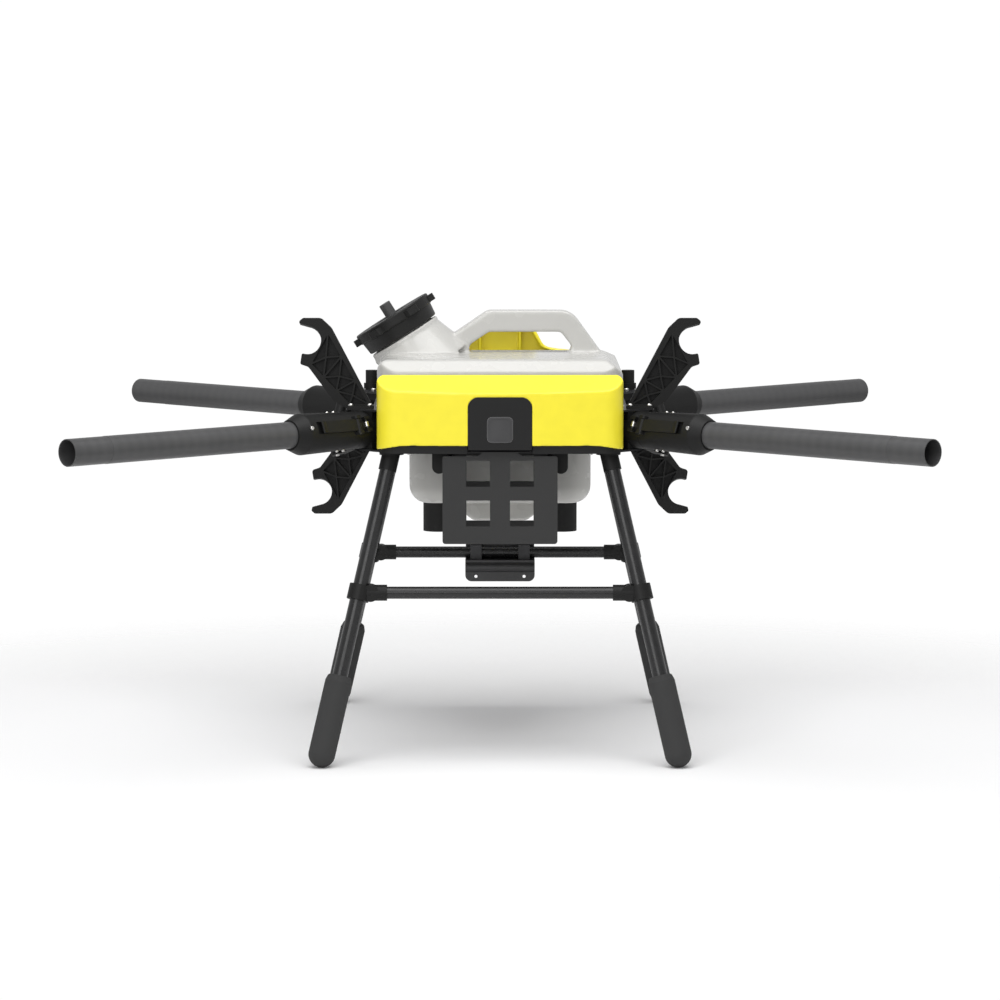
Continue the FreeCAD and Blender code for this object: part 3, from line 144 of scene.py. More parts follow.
@dataclass(frozen=True)
class Finish:
    """One surface finish, made into a material by nodes."""

    name: str
    slot: str
    colour: tuple[float, float, float]
    pattern: Pattern
    roughness: float
    spread: float = 0.08
    variation: float = 0.15
    grain: float = 900.0
    bump: float = 0.00004
    metallic: float = 0.0
    coat: float = 0.0
    coat_roughness: float = 0.1
    specular: float = 0.5
    sheen: float = 0.0
    subsurface: float = 0.0

    def material(self, axis: Axis = Axis(), tag: str = "") -> bpy.types.Material:
        """Build the material, or give the one already built.

        Args:
            axis: The line that the pattern runs along.
            tag: A word that tells apart materials with different lines.

        Returns:
            The material.
        """
        title = f"{self.name}_{tag}" if tag else self.name
        known = bpy.data.materials.get(title)
        if known:
            return known
        made = bpy.data.materials.new(title)
        made.use_nodes = True
        graph = Graph(made.node_tree)
        place = graph.add("ShaderNodeTexCoord").outputs["Object"]
        turned = {"Vector": place, "Location": axis.point, "Rotation": axis.turn()}
        local = graph.add("ShaderNodeMapping", turned, vector_type="TEXTURE").outputs["Vector"]
        tone, height = self._surface(graph, local)
        cloud = graph.add("ShaderNodeTexNoise",
                          {"Vector": place, "Scale": CLOUD_SCALE, "Detail": 5.0, "Roughness": 0.6})
        shade = graph.math("MULTIPLY", graph.math("ADD", tone, cloud.outputs["Fac"]), 0.5)
        self._shader(graph, shade, height)
        made.diffuse_color = (*self.colour, 1.0)
        return made

    def _surface(self, graph: Graph, local: bpy.types.NodeSocket) -> tuple[object, object]:
        """Add the pattern's own nodes.

        Args:
            graph: The material's graph.
            local: The place along and round the finish's line.

        Returns:
            The tone and the height of the pattern, both from 0 to 1.
        """
        fine = graph.add("ShaderNodeTexNoise",
                         {"Vector": local, "Scale": self.grain, "Detail": 3.0, "Roughness": 0.55})
        if self.pattern is Pattern.WOUND:
            parts = graph.add("ShaderNodeSeparateXYZ", {"Vector": local})
            angle = graph.math("ARCTAN2", parts.outputs["Y"], parts.outputs["X"])
            rise = graph.math("MULTIPLY", parts.outputs["Z"], WINDS_ALONG)
            round_it = graph.math("MULTIPLY", angle, WINDS_ROUND)
            one_way = graph.math("SINE", graph.math("ADD", round_it, rise))
            back = graph.math("SINE", graph.math("SUBTRACT", round_it, rise))
            crossed = graph.math("MULTIPLY", graph.math("MULTIPLY", one_way, back), 0.35)
            bands = graph.math("ADD", crossed, 0.5)
            return bands, graph.math("ADD", graph.math("MULTIPLY", bands, 0.3), fine.outputs["Fac"])
        if self.pattern is Pattern.WOVEN:
            cells = graph.add("ShaderNodeTexChecker", {"Vector": local, "Scale": self.grain / 4})
            strand = {"Vector": local, "Scale": self.grain / 3, "Distortion": 0.4}
            across = graph.add("ShaderNodeTexWave", strand, bands_direction="X")
            along = graph.add("ShaderNodeTexWave", strand, bands_direction="Y")
            threads = graph.add("ShaderNodeMix", {0: cells.outputs["Fac"], 2: across.outputs["Fac"],
                                                  3: along.outputs["Fac"]})
            return threads.outputs[0], threads.outputs[0]
        if self.pattern is Pattern.BRUSHED:
            drawn = graph.add("ShaderNodeMapping", {"Vector": local, "Scale": (1.0, 1.0, 0.04)})
            streaks = graph.add("ShaderNodeTexNoise",
                                {"Vector": drawn.outputs["Vector"], "Scale": self.grain * 3})
            return streaks.outputs["Fac"], streaks.outputs["Fac"]
        if self.pattern is Pattern.BOARD:
            cells = graph.add("ShaderNodeTexVoronoi", {"Vector": local, "Scale": self.grain},
                              distance="CHEBYCHEV")
            tracks = graph.math("GREATER_THAN", cells.outputs["Distance"], 0.35)
            return tracks, tracks
        if self.pattern in (Pattern.SATIN, Pattern.MILKY):
            ripple = graph.add("ShaderNodeTexNoise",
                               {"Vector": local, "Scale": self.grain / 8, "Detail": 1.0})
            blend = graph.math("ADD", graph.math("MULTIPLY", ripple.outputs["Fac"], 0.8),
                               graph.math("MULTIPLY", fine.outputs["Fac"], 0.2))
            return ripple.outputs["Fac"], blend
        if self.pattern is Pattern.RUBBER:
            scuffs = graph.add("ShaderNodeTexNoise", {"Vector": local, "Scale": SCUFF_SCALE, "Detail": 6.0})
            return scuffs.outputs["Fac"], fine.outputs["Fac"]
        pits = graph.add("ShaderNodeTexVoronoi", {"Vector": local, "Scale": self.grain})
        height = graph.math("MULTIPLY", pits.outputs["Distance"], fine.outputs["Fac"])
        return fine.outputs["Fac"], height

    def _shader(self, graph: Graph, shade: object, height: object) -> None:
        """Add the shader itself.

        Args:
            graph: The material's graph.
            shade: The tone from 0 to 1 that varies colour and roughness.
            height: The height from 0 to 1 that goes to the bump.
        """
        low = tuple(part * (1 - self.variation) for part in self.colour) + (1.0,)
        high = tuple(min(1.0, part * (1 + self.variation)) for part in self.colour) + (1.0,)
        ramp = graph.add("ShaderNodeValToRGB", {"Fac": shade})
        ramp.color_ramp.elements[0].position = TONE_LOW
        ramp.color_ramp.elements[0].color = low
        ramp.color_ramp.elements[1].position = TONE_HIGH
        ramp.color_ramp.elements[1].color = high
        rough = graph.add("ShaderNodeMapRange", {"Value": shade, "From Min": TONE_LOW, "From Max": TONE_HIGH,
                                                 "To Min": max(0.03, self.roughness - self.spread),
                                                 "To Max": min(1.0, self.roughness + self.spread)})
        bump = graph.add("ShaderNodeBump", {"Height": height, "Strength": 0.5, "Distance": self.bump})
        shader = graph.add("ShaderNodeBsdfPrincipled", {
            "Base Color": ramp.outputs["Color"], "Roughness": rough.outputs["Result"],
            "Normal": bump.outputs["Normal"], "Metallic": self.metallic, "Coat Weight": self.coat,
            "Coat Roughness": self.coat_roughness, "Specular IOR Level": self.specular,
            "Sheen Weight": self.sheen, "Subsurface Weight": self.subsurface})
        if self.subsurface:
            shader.inputs["Subsurface Scale"].default_value = GLOW_DEPTH
            shader.inputs["Subsurface Radius"].default_value = GLOW_RADII
        graph.add("ShaderNodeOutputMaterial", {"Surface": shader.outputs["BSDF"]})


TUBE_CARBON = Finish("tube_carbon", "carbon", (0.070, 0.070, 0.071), Pattern.WOUND, 0.45, grain=1500.0,
                     variation=0.12, bump=0.00002, coat=0.1, coat_roughness=0.35, specular=0.4)
LEG_CARBON = Finish("leg_carbon", "carbon", (0.012, 0.012, 0.0125), Pattern.WOUND, 0.30, grain=1500.0,
                    variation=0.16, bump=0.00002, coat=0.2, coat_roughness=0.25, specular=0.4)
SHEET_CARBON = Finish("sheet_carbon", "carbon_sheet", (0.011, 0.011, 0.012), Pattern.WOVEN, 0.4, grain=1600.0,
                      variation=0.45, bump=0.00003, coat=0.1, specular=0.3)
MOULDED_BLACK = Finish("moulded_black", "black_plastic", (0.0075, 0.0075, 0.0073), Pattern.MOULDED, 0.52,
                       grain=1400.0, variation=0.25, bump=0.00006, specular=0.28)
PANEL_BLACK = Finish("panel_black", "black_plastic", (0.010, 0.010, 0.0102), Pattern.MOULDED, 0.62,
                     grain=1800.0, bump=0.00003, specular=0.3)
GRID_COAT = Finish("grid_coat", "grey_sheet", (0.034, 0.034, 0.034), Pattern.COATED, 0.66, grain=2200.0,
                   variation=0.10, bump=0.00003, specular=0.3)
SHELL_YELLOW = Finish("shell_yellow", "yellow_shell", (0.96, 0.835, 0.040), Pattern.SATIN, 0.36, spread=0.05,
                      grain=500.0, variation=0.03, bump=0.00004, coat=0.25, coat_roughness=0.15,
                      specular=0.35)
TANK_WHITE = Finish("tank_white", "tank_plastic", (0.545, 0.54, 0.515), Pattern.MILKY, 0.27, spread=0.015,
                    grain=300.0, variation=0.012, bump=0.00003, coat=0.35, coat_roughness=0.12,
                    subsurface=0.05)
BOOT_RUBBER = Finish("boot_rubber", "boot_rubber", (0.030, 0.030, 0.030), Pattern.RUBBER, 0.72, grain=1300.0,
                     variation=0.22, bump=0.00005, sheen=0.05, specular=0.3)
BRIGHT_STEEL = Finish("bright_steel", "steel", (0.72, 0.71, 0.69), Pattern.BRUSHED, 0.28, grain=700.0,
                      variation=0.12, bump=0.00001, metallic=1.0)
DARK_METAL = Finish("dark_metal", "black_metal", (0.035, 0.035, 0.037), Pattern.COATED, 0.42, grain=1800.0,
                    variation=0.2, bump=0.00002, metallic=0.3)
BRACKET_METAL = Finish("bracket_metal", "black_metal", (0.055, 0.055, 0.056), Pattern.BRUSHED, 0.36,
                       grain=900.0, variation=0.18, bump=0.00002, metallic=0.5)
CAMERA_WINDOW = Finish("camera_window", "camera_glass", (0.045, 0.045, 0.047), Pattern.SATIN, 0.22,
                       grain=300.0, variation=0.12, bump=0.00001, coat=0.6, coat_roughness=0.05)
BEZEL_GREY = Finish("bezel_grey", "black_plastic", (0.24, 0.24, 0.24), Pattern.MOULDED, 0.4, grain=1500.0,
                    variation=0.12, bump=0.00002)
SEAL_RUBBER = Finish("seal_rubber", "seal", (0.04, 0.04, 0.04), Pattern.RUBBER, 0.65, grain=1500.0)
BOARD_GREEN = Finish("board_green", "board", (0.02, 0.11, 0.05), Pattern.BOARD, 0.4, grain=260.0,
                     variation=0.4)
OUTLET_GREY = Finish("outlet_grey", "outlet", (0.09, 0.09, 0.09), Pattern.MOULDED, 0.5, grain=1500.0)
CAP_BLACK = Finish("cap_black", "black_plastic", (0.0105, 0.0105, 0.010), Pattern.MOULDED, 0.44, grain=1100.0,
                   variation=0.25, bump=0.00006, specular=0.32)
KNOB_GREY = Finish("knob_grey", "black_plastic", (0.06, 0.06, 0.06), Pattern.MOULDED, 0.5, grain=1300.0,
                   variation=0.15, bump=0.00004)


# ---------------------------------------------------------------- making and dressing pieces
def dress(node: str, finish: Finish, axis: Axis = Axis(), tag: str = "") -> None:
    """Put a finish on a carried-over CAD node.

    Args:
        node: The name of the node.
        finish: Its finish.
        axis: The line that the pattern runs along.
        tag: A word that tells apart materials with different lines.
    """
    thing = frame["nodes"][node]
    made = finish.material(axis, tag)
    if not thing.material_slots:
        thing.data.materials.append(made)
    for place in thing.material_slots:
        place.material = made
    log.info("%s wears %s", node, finish.name)


def new_piece(name: str, mesh: bpy.types.Mesh) -> bpy.types.Object:
    """Link a mesh into the scene as an object at the origin.

    Args:
        name: The name of the piece.
        mesh: Its mesh.

    Returns:
        The object.
    """
    mesh.name = name
    thing = bpy.data.objects.new(name, mesh)
    bpy.context.scene.collection.objects.link(thing)
    return thing


def baked(thing: bpy.types.Object) -> bpy.types.Object:
    """Turn an object's modifiers into plain mesh.

    Args:
        thing: The object with its modifiers.

    Returns:
        The same object, with no modifiers left.
    """
    bpy.context.view_layer.update()
    graph = bpy.context.evaluated_depsgraph_get()
    mesh = bpy.data.meshes.new_from_object(thing.evaluated_get(graph), depsgraph=graph)
    thing.modifiers.clear()
    thing.data = mesh
    mesh.name = thing.name
    return thing


def hand_over(thing: bpy.types.Object, body: str, slot: str, *nodes: str) -> None:
    """Parent a finished piece to the body that it moves with, hide the nodes that it stands for and log both.

    Args:
        thing: The finished piece.
        body: The body that it moves with.
        slot: Not used.
        *nodes: The CAD nodes that it replaces.
    """
    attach(thing, body)
    if nodes:
        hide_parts(*nodes)
    log.info("%s rides on %s and stands for %s", thing.name, body, nodes or "nothing")


@dataclass(frozen=True)
class Solid:
    """One separate solid of a CAD node, measured along three directions."""

    centre: Vector
    spans: tuple[float, float, float]
    basis: tuple[Vector, Vector, Vector]

    def axis_index(self) -> int:
        """Find the direction in which a round solid is not like the other two.

        Returns:
            The index of that direction.
        """
        odd = [abs(self.spans[i] - (self.spans[i - 1] + self.spans[i - 2]) / 2) for i in range(3)]
        return odd.index(max(odd))

    def width(self) -> float:
        """Measure the solid across its axis.

        Returns:
            Its width.
        """
        return self.spans[self.axis_index() - 1]


def loose_solids(node: str, basis: Sequence[Vector]) -> list[Solid]:
    """Measure the separate solids of a CAD node.

    Args:
        node: The name of the node.
        basis: Three directions at right angles.

    Returns:
        One entry for each solid.
    """
    shape = bmesh.new()
    shape.from_mesh(frame["nodes"][node].data)
    bmesh.ops.remove_doubles(shape, verts=shape.verts, dist=1e-6)
    waiting = set(shape.verts)
    found = []
    while waiting:
        front = [waiting.pop()]
        island = []
        while front:
            vertex = front.pop()
            island.append(vertex.co.copy())
            for edge in vertex.link_edges:
                other = edge.other_vert(vertex)
                if other in waiting:
                    waiting.remove(other)
                    front.append(other)
        reaches = [[point.dot(way) for point in island] for way in basis]
        middles = [(max(reach) + min(reach)) / 2 for reach in reaches]
        centre = sum((way * middle for way, middle in zip(basis, middles)), Vector())
        spans = tuple(max(reach) - min(reach) for reach in reaches)
        found.append(Solid(centre, spans, tuple(basis)))
    shape.free()
    found.sort(key=lambda solid: tuple(round(part, 5) for part in solid.centre))
    return found


@dataclass(frozen=True)
class Spot:
    """Where one repeated part sits, the way it faces and its size."""

    place: Vector
    facing: Vector
    size: tuple[float, float, float]


class RepeatTree:
    """A Geometry Nodes tree that sets one small shape on every point of a mesh."""

    def __init__(self, title: str, material: bpy.types.Material) -> None:
        """Start the tree.

        Args:
            title: The tree's name.
            material: The material of the finished shapes.
        """
        self.group = bpy.data.node_groups.new(title, "GeometryNodeTree")
        self.material = material
        self.graph = Graph(self.group)
        self.settings: dict[str, float] = {}
        face = self.group.interface
        face.new_socket("Points", in_out="INPUT", socket_type="NodeSocketGeometry")
        face.new_socket("Shapes", in_out="OUTPUT", socket_type="NodeSocketGeometry")

    def number(self, name: str, value: float) -> None:
        """Add a named number to the tree's inputs.

        Args:
            name: The input's name.
            value: The value given to it.
        """
        self.group.interface.new_socket(name, in_out="INPUT", socket_type="NodeSocketFloat")
        self.settings[name] = value

    def close(self, entry: bpy.types.Node, shape: bpy.types.NodeSocket) -> None:
        """Set the shape on the points, realise it and give it its material.

        Args:
            entry: The group's input node.
            shape: The socket with the small shape.
        """
        add = self.graph.add
        facing = add("GeometryNodeInputNamedAttribute", {"Name": "facing"}, data_type="FLOAT_VECTOR")
        size = add("GeometryNodeInputNamedAttribute", {"Name": "size"}, data_type="FLOAT_VECTOR")
        turn = add("FunctionNodeAlignRotationToVector", {"Vector": facing.outputs["Attribute"]}, axis="Z")
        copies = add("GeometryNodeInstanceOnPoints", {
            "Points": entry.outputs["Points"], "Instance": shape, "Rotation": turn.outputs[0],
            "Scale": size.outputs["Attribute"]})
        real = add("GeometryNodeRealizeInstances", {"Geometry": copies.outputs[0]})
        dressed = add("GeometryNodeSetMaterial", {"Geometry": real.outputs[0], "Material": self.material})
        add("NodeGroupOutput", {"Shapes": dressed.outputs[0]})

    def grow(self, name: str, spots: Iterable[Spot]) -> bpy.types.Object:
        """Make one plain mesh of the shape repeated on many spots.

        Args:
            name: The name of the piece.
            spots: Where the shapes go.

        Returns:
            The piece, with no modifier left on it.
        """
        spots = list(spots)
        mesh = bpy.data.meshes.new(name)
        mesh.from_pydata([spot.place for spot in spots], [], [])
        for title in ("facing", "size"):
            layer = mesh.attributes.new(title, "FLOAT_VECTOR", "POINT")
            for entry, spot in zip(layer.data, spots):
                entry.vector = getattr(spot, title)
        thing = new_piece(name, mesh)
        modifier = thing.modifiers.new("repeat", "NODES")
        modifier.node_group = self.group
        for socket in self.group.interface.items_tree:
            if socket.name in self.settings:
                modifier[socket.identifier] = self.settings[socket.name]
        return baked(thing)


class ButtonHeads(RepeatTree):
    """Round screw heads with a sunk socket, one unit in radius and in height."""

    def __init__(self, material: bpy.types.Material) -> None:
        """Build the tree.

        Args:
            material: The heads' material.
        """
        super().__init__("button_heads", material)
        self.number("Crown Width", 0.74)
        self.number("Socket Width", 0.62)
        self.number("Socket Depth", 0.55)
        add = self.graph.add
        entry = add("NodeGroupInput")
        disc = add("GeometryNodeMeshCylinder", {"Vertices": 18, "Radius": 1.0, "Depth": 0.6})
        shoulder = add("GeometryNodeExtrudeMesh", {
            "Mesh": disc.outputs["Mesh"], "Selection": disc.outputs["Top"], "Offset Scale": 0.4})
        crown = add("GeometryNodeScaleElements", {"Geometry": shoulder.outputs["Mesh"],
                                                  "Selection": shoulder.outputs["Top"],
                                                  "Scale": entry.outputs["Crown Width"]})
        rim = add("GeometryNodeExtrudeMesh", {"Mesh": crown.outputs["Geometry"],
                                              "Selection": shoulder.outputs["Top"], "Offset Scale": 0.01})
        mouth = add("GeometryNodeScaleElements", {
            "Geometry": rim.outputs["Mesh"], "Selection": rim.outputs["Top"],
            "Scale": entry.outputs["Socket Width"]})
        depth = self.graph.math("MULTIPLY", entry.outputs["Socket Depth"], -1.0)
        socket = add("GeometryNodeExtrudeMesh", {"Mesh": mouth.outputs["Geometry"],
                                                 "Selection": rim.outputs["Top"], "Offset Scale": depth})
        lift = add("GeometryNodeTransform",
                   {"Geometry": socket.outputs["Mesh"], "Translation": (0.0, 0.0, -0.71)})
        self.close(entry, lift.outputs["Geometry"])


class RoundPins(RepeatTree):
    """Plain round pins with chamfered ends, one unit in radius and in length."""

    def __init__(self, material: bpy.types.Material) -> None:
        """Build the tree.

        Args:
            material: The pins' material.
        """
        super().__init__("round_pins", material)
        self.number("End Width", 0.72)
        add = self.graph.add
        entry = add("NodeGroupInput")
        rod = add("GeometryNodeMeshCylinder", {"Vertices": 20, "Radius": 1.0, "Depth": 0.92})
        shape = rod.outputs["Mesh"]
        for end in ("Top", "Bottom"):
            raised = add("GeometryNodeExtrudeMesh", {"Mesh": shape, "Selection": rod.outputs[end],
                                                     "Offset Scale": 0.04})
            narrowed = add("GeometryNodeScaleElements", {"Geometry": raised.outputs["Mesh"],
                                                         "Selection": raised.outputs["Top"],
                                                         "Scale": entry.outputs["End Width"]})
            shape = narrowed.outputs["Geometry"]
        self.close(entry, shape)


def swept(name: str, line: Sequence[tuple[float, float]], thick: float, low: float,
          high: float) -> bpy.types.Object:
    """Make an upright strip that follows a line seen from above.

    Args:
        name: The name of the piece.
        line: The outer line, as x and y in metres.
        thick: The strip's thickness, to the left of the line's way.
        low: The height of its lower edge.
        high: The height of its upper edge.

    Returns:
        The strip.
    """
    shape = bmesh.new()
    rings = []
    for index, (x, y) in enumerate(line):
        before, after = Vector(line[max(0, index - 1)]), Vector(line[min(len(line) - 1, index + 1)])
        way = (after - before).normalized()
        inner = Vector((x - way.y * thick, y + way.x * thick))
        rings.append([shape.verts.new(point) for point in (
            (x, y, low), (x, y, high), (inner.x, inner.y, high), (inner.x, inner.y, low))])
    for first, second in zip(rings, rings[1:]):
        for side in range(4):
            shape.faces.new((first[side], second[side], second[side - 3], first[side - 3]))
    shape.faces.new(rings[0])
    shape.faces.new(rings[-1])
    bmesh.ops.recalc_face_normals(shape, faces=shape.faces)
    mesh = bpy.data.meshes.new(name)
    shape.to_mesh(mesh)
    shape.free()
    return new_piece(name, mesh)


def framed(name: str, middle: Vector, half: tuple[float, float], corner: float, band: float,
           depth: float) -> bpy.types.Object:
    """Make a flat ring with rounded corners that faces the nose.

    Args:
        name: The name of the piece.
        middle: The middle of its front face.
        half: Half of its outer width and height.
        corner: The radius of its outer corners.
        band: The width of the ring.
        depth: How far it reaches back from its front face.

    Returns:
        The ring.
    """
    shape = bmesh.new()
    loops = []
    for inset, back in ((0.0, depth), (0.0, 0.0), (band, 0.0), (band, depth)):
        round_part = max(corner - inset, 0.0002)
        loop = []
        for turn, (across, up) in enumerate(((1, 1), (-1, 1), (-1, -1), (1, -1))):
            for step in range(7):
                angle = math.radians(90 * turn + 15 * step)
                loop.append(shape.verts.new((
                    middle.x + across * (half[0] - inset - round_part) + round_part * math.cos(angle),
                    middle.y + back,
                    middle.z + up * (half[1] - inset - round_part) + round_part * math.sin(angle))))
        loops.append(loop)
    for first, second in zip(loops, loops[1:] + loops[:1]):
        for index in range(len(first)):
            shape.faces.new((first[index - 1], first[index], second[index], second[index - 1]))
    bmesh.ops.recalc_face_normals(shape, faces=shape.faces)
    mesh = bpy.data.meshes.new(name)
    shape.to_mesh(mesh)
    shape.free()
    return new_piece(name, mesh)


def softened(name: str, node: str, voxel: float, rounds: int, keep: float) -> bpy.types.Object:
    """Copy a CAD node and soften its edges the way a moulding has them.

    Args:
        name: The name of the new piece.
        node: The node to copy.
        voxel: The size of the remesh, in metres.
        rounds: How many times it is smoothed.
        keep: The share of the faces that stays.

    Returns:
        The softened piece.
    """
    shape = bmesh.new()
    shape.from_mesh(frame["nodes"][node].data)
    bmesh.ops.remove_doubles(shape, verts=shape.verts, dist=WELD)
    bmesh.ops.recalc_face_normals(shape, faces=shape.faces)
    mesh = bpy.data.meshes.new(name)
    shape.to_mesh(mesh)
    shape.free()
    thing = new_piece(name, mesh)
    remesh = thing.modifiers.new("remesh", "REMESH")
    remesh.mode = "VOXEL"
    remesh.voxel_size = voxel
    smooth = thing.modifiers.new("soften", "SMOOTH")
    smooth.factor = 0.5
    smooth.iterations = rounds
    if keep < 1:
        thin = thing.modifiers.new("thin", "DECIMATE")
        thin.ratio = keep
    thing = baked(thing)
    for face in thing.data.polygons:
        face.use_smooth = True
    return thing


# ---------------------------------------------------------------- sub-assemblies
@dataclass
class FoldingArm:
    """One tube arm with the holder, the latch lever and their fasteners."""

    corner: str
    head_height: float = 0.0026
    head_share: float = 0.66
    pin_share: float = 3.0
    rivet_rise: float = 0.0036
    rivet_size: tuple[float, float, float] = (0.0024, 0.0030, 0.0014)

    def frame_ways(self) -> tuple[Vector, Vector, Vector]:
        """The directions along the tube, to the fold side and along the hinge pin.

        Returns:
            The three directions.
        """
        joint = next(row for row in frame["joints"] if row["name"] == f"{self.corner}_arm_fold")
        pin = Vector(joint["axis"]).normalized()
        along = Vector(self.tube_line().along).normalized()
        return along, pin.cross(along), pin

    def tube_line(self) -> Axis:
        """Find the line of the tube.

        Returns:
            The line.
        """
        mount = next(row for row in frame["record"]["mounts"] if row["name"] == f"{self.corner}_motor_tube")
        return Axis(tuple(mount["pos_m"]), tuple(mount["axis"]))

    def dress(self) -> None:
        """Put the finishes on the arm's CAD nodes."""
        line = self.tube_line()
        dress(f"{self.corner}_arm_tube", TUBE_CARBON, line, self.corner)
        for part in ("arm_holder", "arm_base", "latch_lever", "arm_clip"):
            dress(f"{self.corner}_{part}", MOULDED_BLACK)

    def fasteners(self, heads: ButtonHeads, pins: RoundPins) -> None:
        """Make the screws and the lever's pin of this arm.

        Args:
            heads: The tree for screw heads.
            pins: The tree for pins.
        """
        node = f"{self.corner}_arm_screws"
        ways = self.frame_ways()
        middle = Vector(self.tube_line().point)
        screws, rods = [], []
        for solid in loose_solids(node, ways):
            index = solid.axis_index()
            way = ways[index]
            length = solid.spans[index]
            if length > self.pin_share * solid.width():
                rods.append(Spot(solid.centre, way, (solid.width() / 2, solid.width() / 2, length)))
                continue
            if (solid.centre - middle).dot(way) < 0:
                way = -way
            radius = self.head_share * solid.width() / 2
            screws.append(Spot(solid.centre + way * (length / 2), way, (radius, radius, self.head_height)))
        hand_over(heads.grow(f"{self.corner}_holder_screws", screws), f"{self.corner}_arm",
                  BRIGHT_STEEL.slot, node)
        hand_over(pins.grow(f"{self.corner}_lever_pin", rods), f"{self.corner}_arm", BRIGHT_STEEL.slot)
        turn = next(row for row in frame["joints"] if row["name"] == f"{self.corner}_latch_turn")
        rivet = Spot(Vector(turn["pos_m"]) - ways[1] * self.rivet_rise, -ways[1], self.rivet_size)
        hand_over(heads.grow(f"{self.corner}_lever_rivet", [rivet]), f"{self.corner}_latch",
                  BRIGHT_STEEL.slot)


@dataclass
class PlateStack:
    """The two carbon plates with what stands between them, and the screws through them."""

    head_height: float = 0.0026
    head_share: float = 0.84
    arm_level: float = 0.4305
    joint_reach: float = 0.09
    catch_length: float = 0.03
    collar_grow: float = 1.45
    collar_length: float = 0.007
    ways: tuple[Vector, Vector, Vector] = field(
        default_factory=lambda: (Vector((1, 0, 0)), Vector((0, 1, 0)), Vector((0, 0, 1))))

    def dress(self) -> None:
        """Put the finishes on the plates and the spacers."""
        dress("top_plate", SHEET_CARBON)
        dress("bottom_plate", SHEET_CARBON)
        dress("plate_spacers", DARK_METAL)
        dress("corner_bars", DARK_METAL)
        dress("flight_controller", MOULDED_BLACK)
        dress("power_board", BOARD_GREEN)
        dress("antenna_posts", MOULDED_BLACK)
        dress("pumps", MOULDED_BLACK)

    def fasteners(self, heads: ButtonHeads, pins: RoundPins, dark_pins: RoundPins) -> None:
        """Make the plate screws, the pins of the four hinges and the catch pins with their collars.

        Args:
            heads: The tree for screw heads.
            pins: The tree for bright pins.
            dark_pins: The tree for dark pins.
        """
        up = self.ways[2]
        screws = []
        for solid in loose_solids("frame_screws", self.ways):
            way = up if solid.centre.z > self.arm_level else -up
            radius = self.head_share * solid.spans[0] / 2
            place = solid.centre + way * (solid.spans[2] / 2)
            screws.append(Spot(place, way, (radius, radius, self.head_height)))
        hand_over(heads.grow("plate_screws", screws), "airframe", BRIGHT_STEEL.slot, "frame_screws")
        rods, catches = [], []
        for corner in CORNERS:
            ways = FoldingArm(corner).frame_ways()
            hinge = next(row for row in frame["joints"] if row["name"] == f"{corner}_arm_fold")
            near = Vector(hinge["pos_m"])
            for solid in loose_solids("joint_pins", ways):
                if (solid.centre - near).length < self.joint_reach:
                    radius = (solid.spans[0] + solid.spans[1]) / 4
                    whole = Spot(solid.centre, ways[2], (radius, radius, solid.spans[2]))
                    if solid.spans[2] > self.catch_length:
                        rods.append(whole)
                        continue
                    catches.append(whole)
                    wide = radius * self.collar_grow
                    rods.append(Spot(solid.centre, ways[2], (wide, wide, self.collar_length)))
        hand_over(pins.grow("hinge_pins", rods), "airframe", BRIGHT_STEEL.slot, "joint_pins")
        hand_over(dark_pins.grow("catch_pins", catches), "airframe", DARK_METAL.slot)


@dataclass
class Covers:
    """The yellow covers, the camera panel and the camera."""

    voxel: float = 0.0012
    rounds: int = 5
    keep: float = 0.4
    skirt_start: tuple[float, float] = (0.1583, -0.150)
    skirt_corner: float = 0.0236
    skirt_front: float = -0.2372
    skirt_end: float = 0.0425
    skirt_heights: tuple[float, float] = (0.4032, 0.4185)
    skirt_thick: float = 0.0018
    skirt_steps: int = 8
    bezel_half: float = 0.0168
    bezel_corner: float = 0.0062
    bezel_band: float = 0.0012
    bezel_depth: float = 0.004

    def build(self) -> None:
        """Soften the covers, line the nose and dress it."""
        for node, name in (("front_cover", "nose_cover"), ("rear_cover", "tail_cover")):
            piece = softened(name, node, self.voxel, self.rounds, self.keep)
            piece.data.materials.clear()
            piece.data.materials.append(SHELL_YELLOW.material())
            hand_over(piece, "airframe", SHELL_YELLOW.slot, node)
        dress("camera_panel", PANEL_BLACK)
        dress("nose_camera", CAMERA_WINDOW)
        self._skirt("left", -1)
        self._skirt("right", 1)
        low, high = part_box("nose_camera")
        face = Vector(((low.x + high.x) / 2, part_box("camera_panel")[0].y - 0.0003, (low.z + high.z) / 2))
        bezel = framed("camera_bezel", face, (self.bezel_half, self.bezel_half), self.bezel_corner,
                       self.bezel_band, self.bezel_depth)
        bezel.data.materials.append(BEZEL_GREY.material())
        hand_over(bezel, "airframe", BEZEL_GREY.slot)

    def _skirt(self, name: str, side: int) -> None:
        """Make the black liner that shows under one half of the nose cover.

        Args:
            name: The side's name.
            side: -1 for the left and 1 for the right.
        """
        wide, start = self.skirt_start
        bend = self.skirt_corner
        rise = self.skirt_front + 0.004
        line = [(side * wide, start)]
        for step in range(self.skirt_steps + 1):
            angle = math.radians(90 * step / self.skirt_steps)
            line.append((side * (wide - bend + bend * math.cos(angle)), rise + bend - bend * math.sin(angle)))
        line.append((side * 0.09, self.skirt_front + 0.0012))
        line.append((side * self.skirt_end, self.skirt_front + 0.0003))
        piece = swept(f"nose_skirt_{name}", line, -side * self.skirt_thick, *self.skirt_heights)
        piece.data.materials.append(PANEL_BLACK.material())
        hand_over(piece, "airframe", PANEL_BLACK.slot)


@dataclass
class EquipmentCage:
    """The grid plates under the nose and what hangs them."""

    def dress(self) -> None:
        """Put the finishes on the cage."""
        dress("cage_front_plate", GRID_COAT)
        dress("cage_rear_plate", GRID_COAT)
        dress("cage_brackets", MOULDED_BLACK)


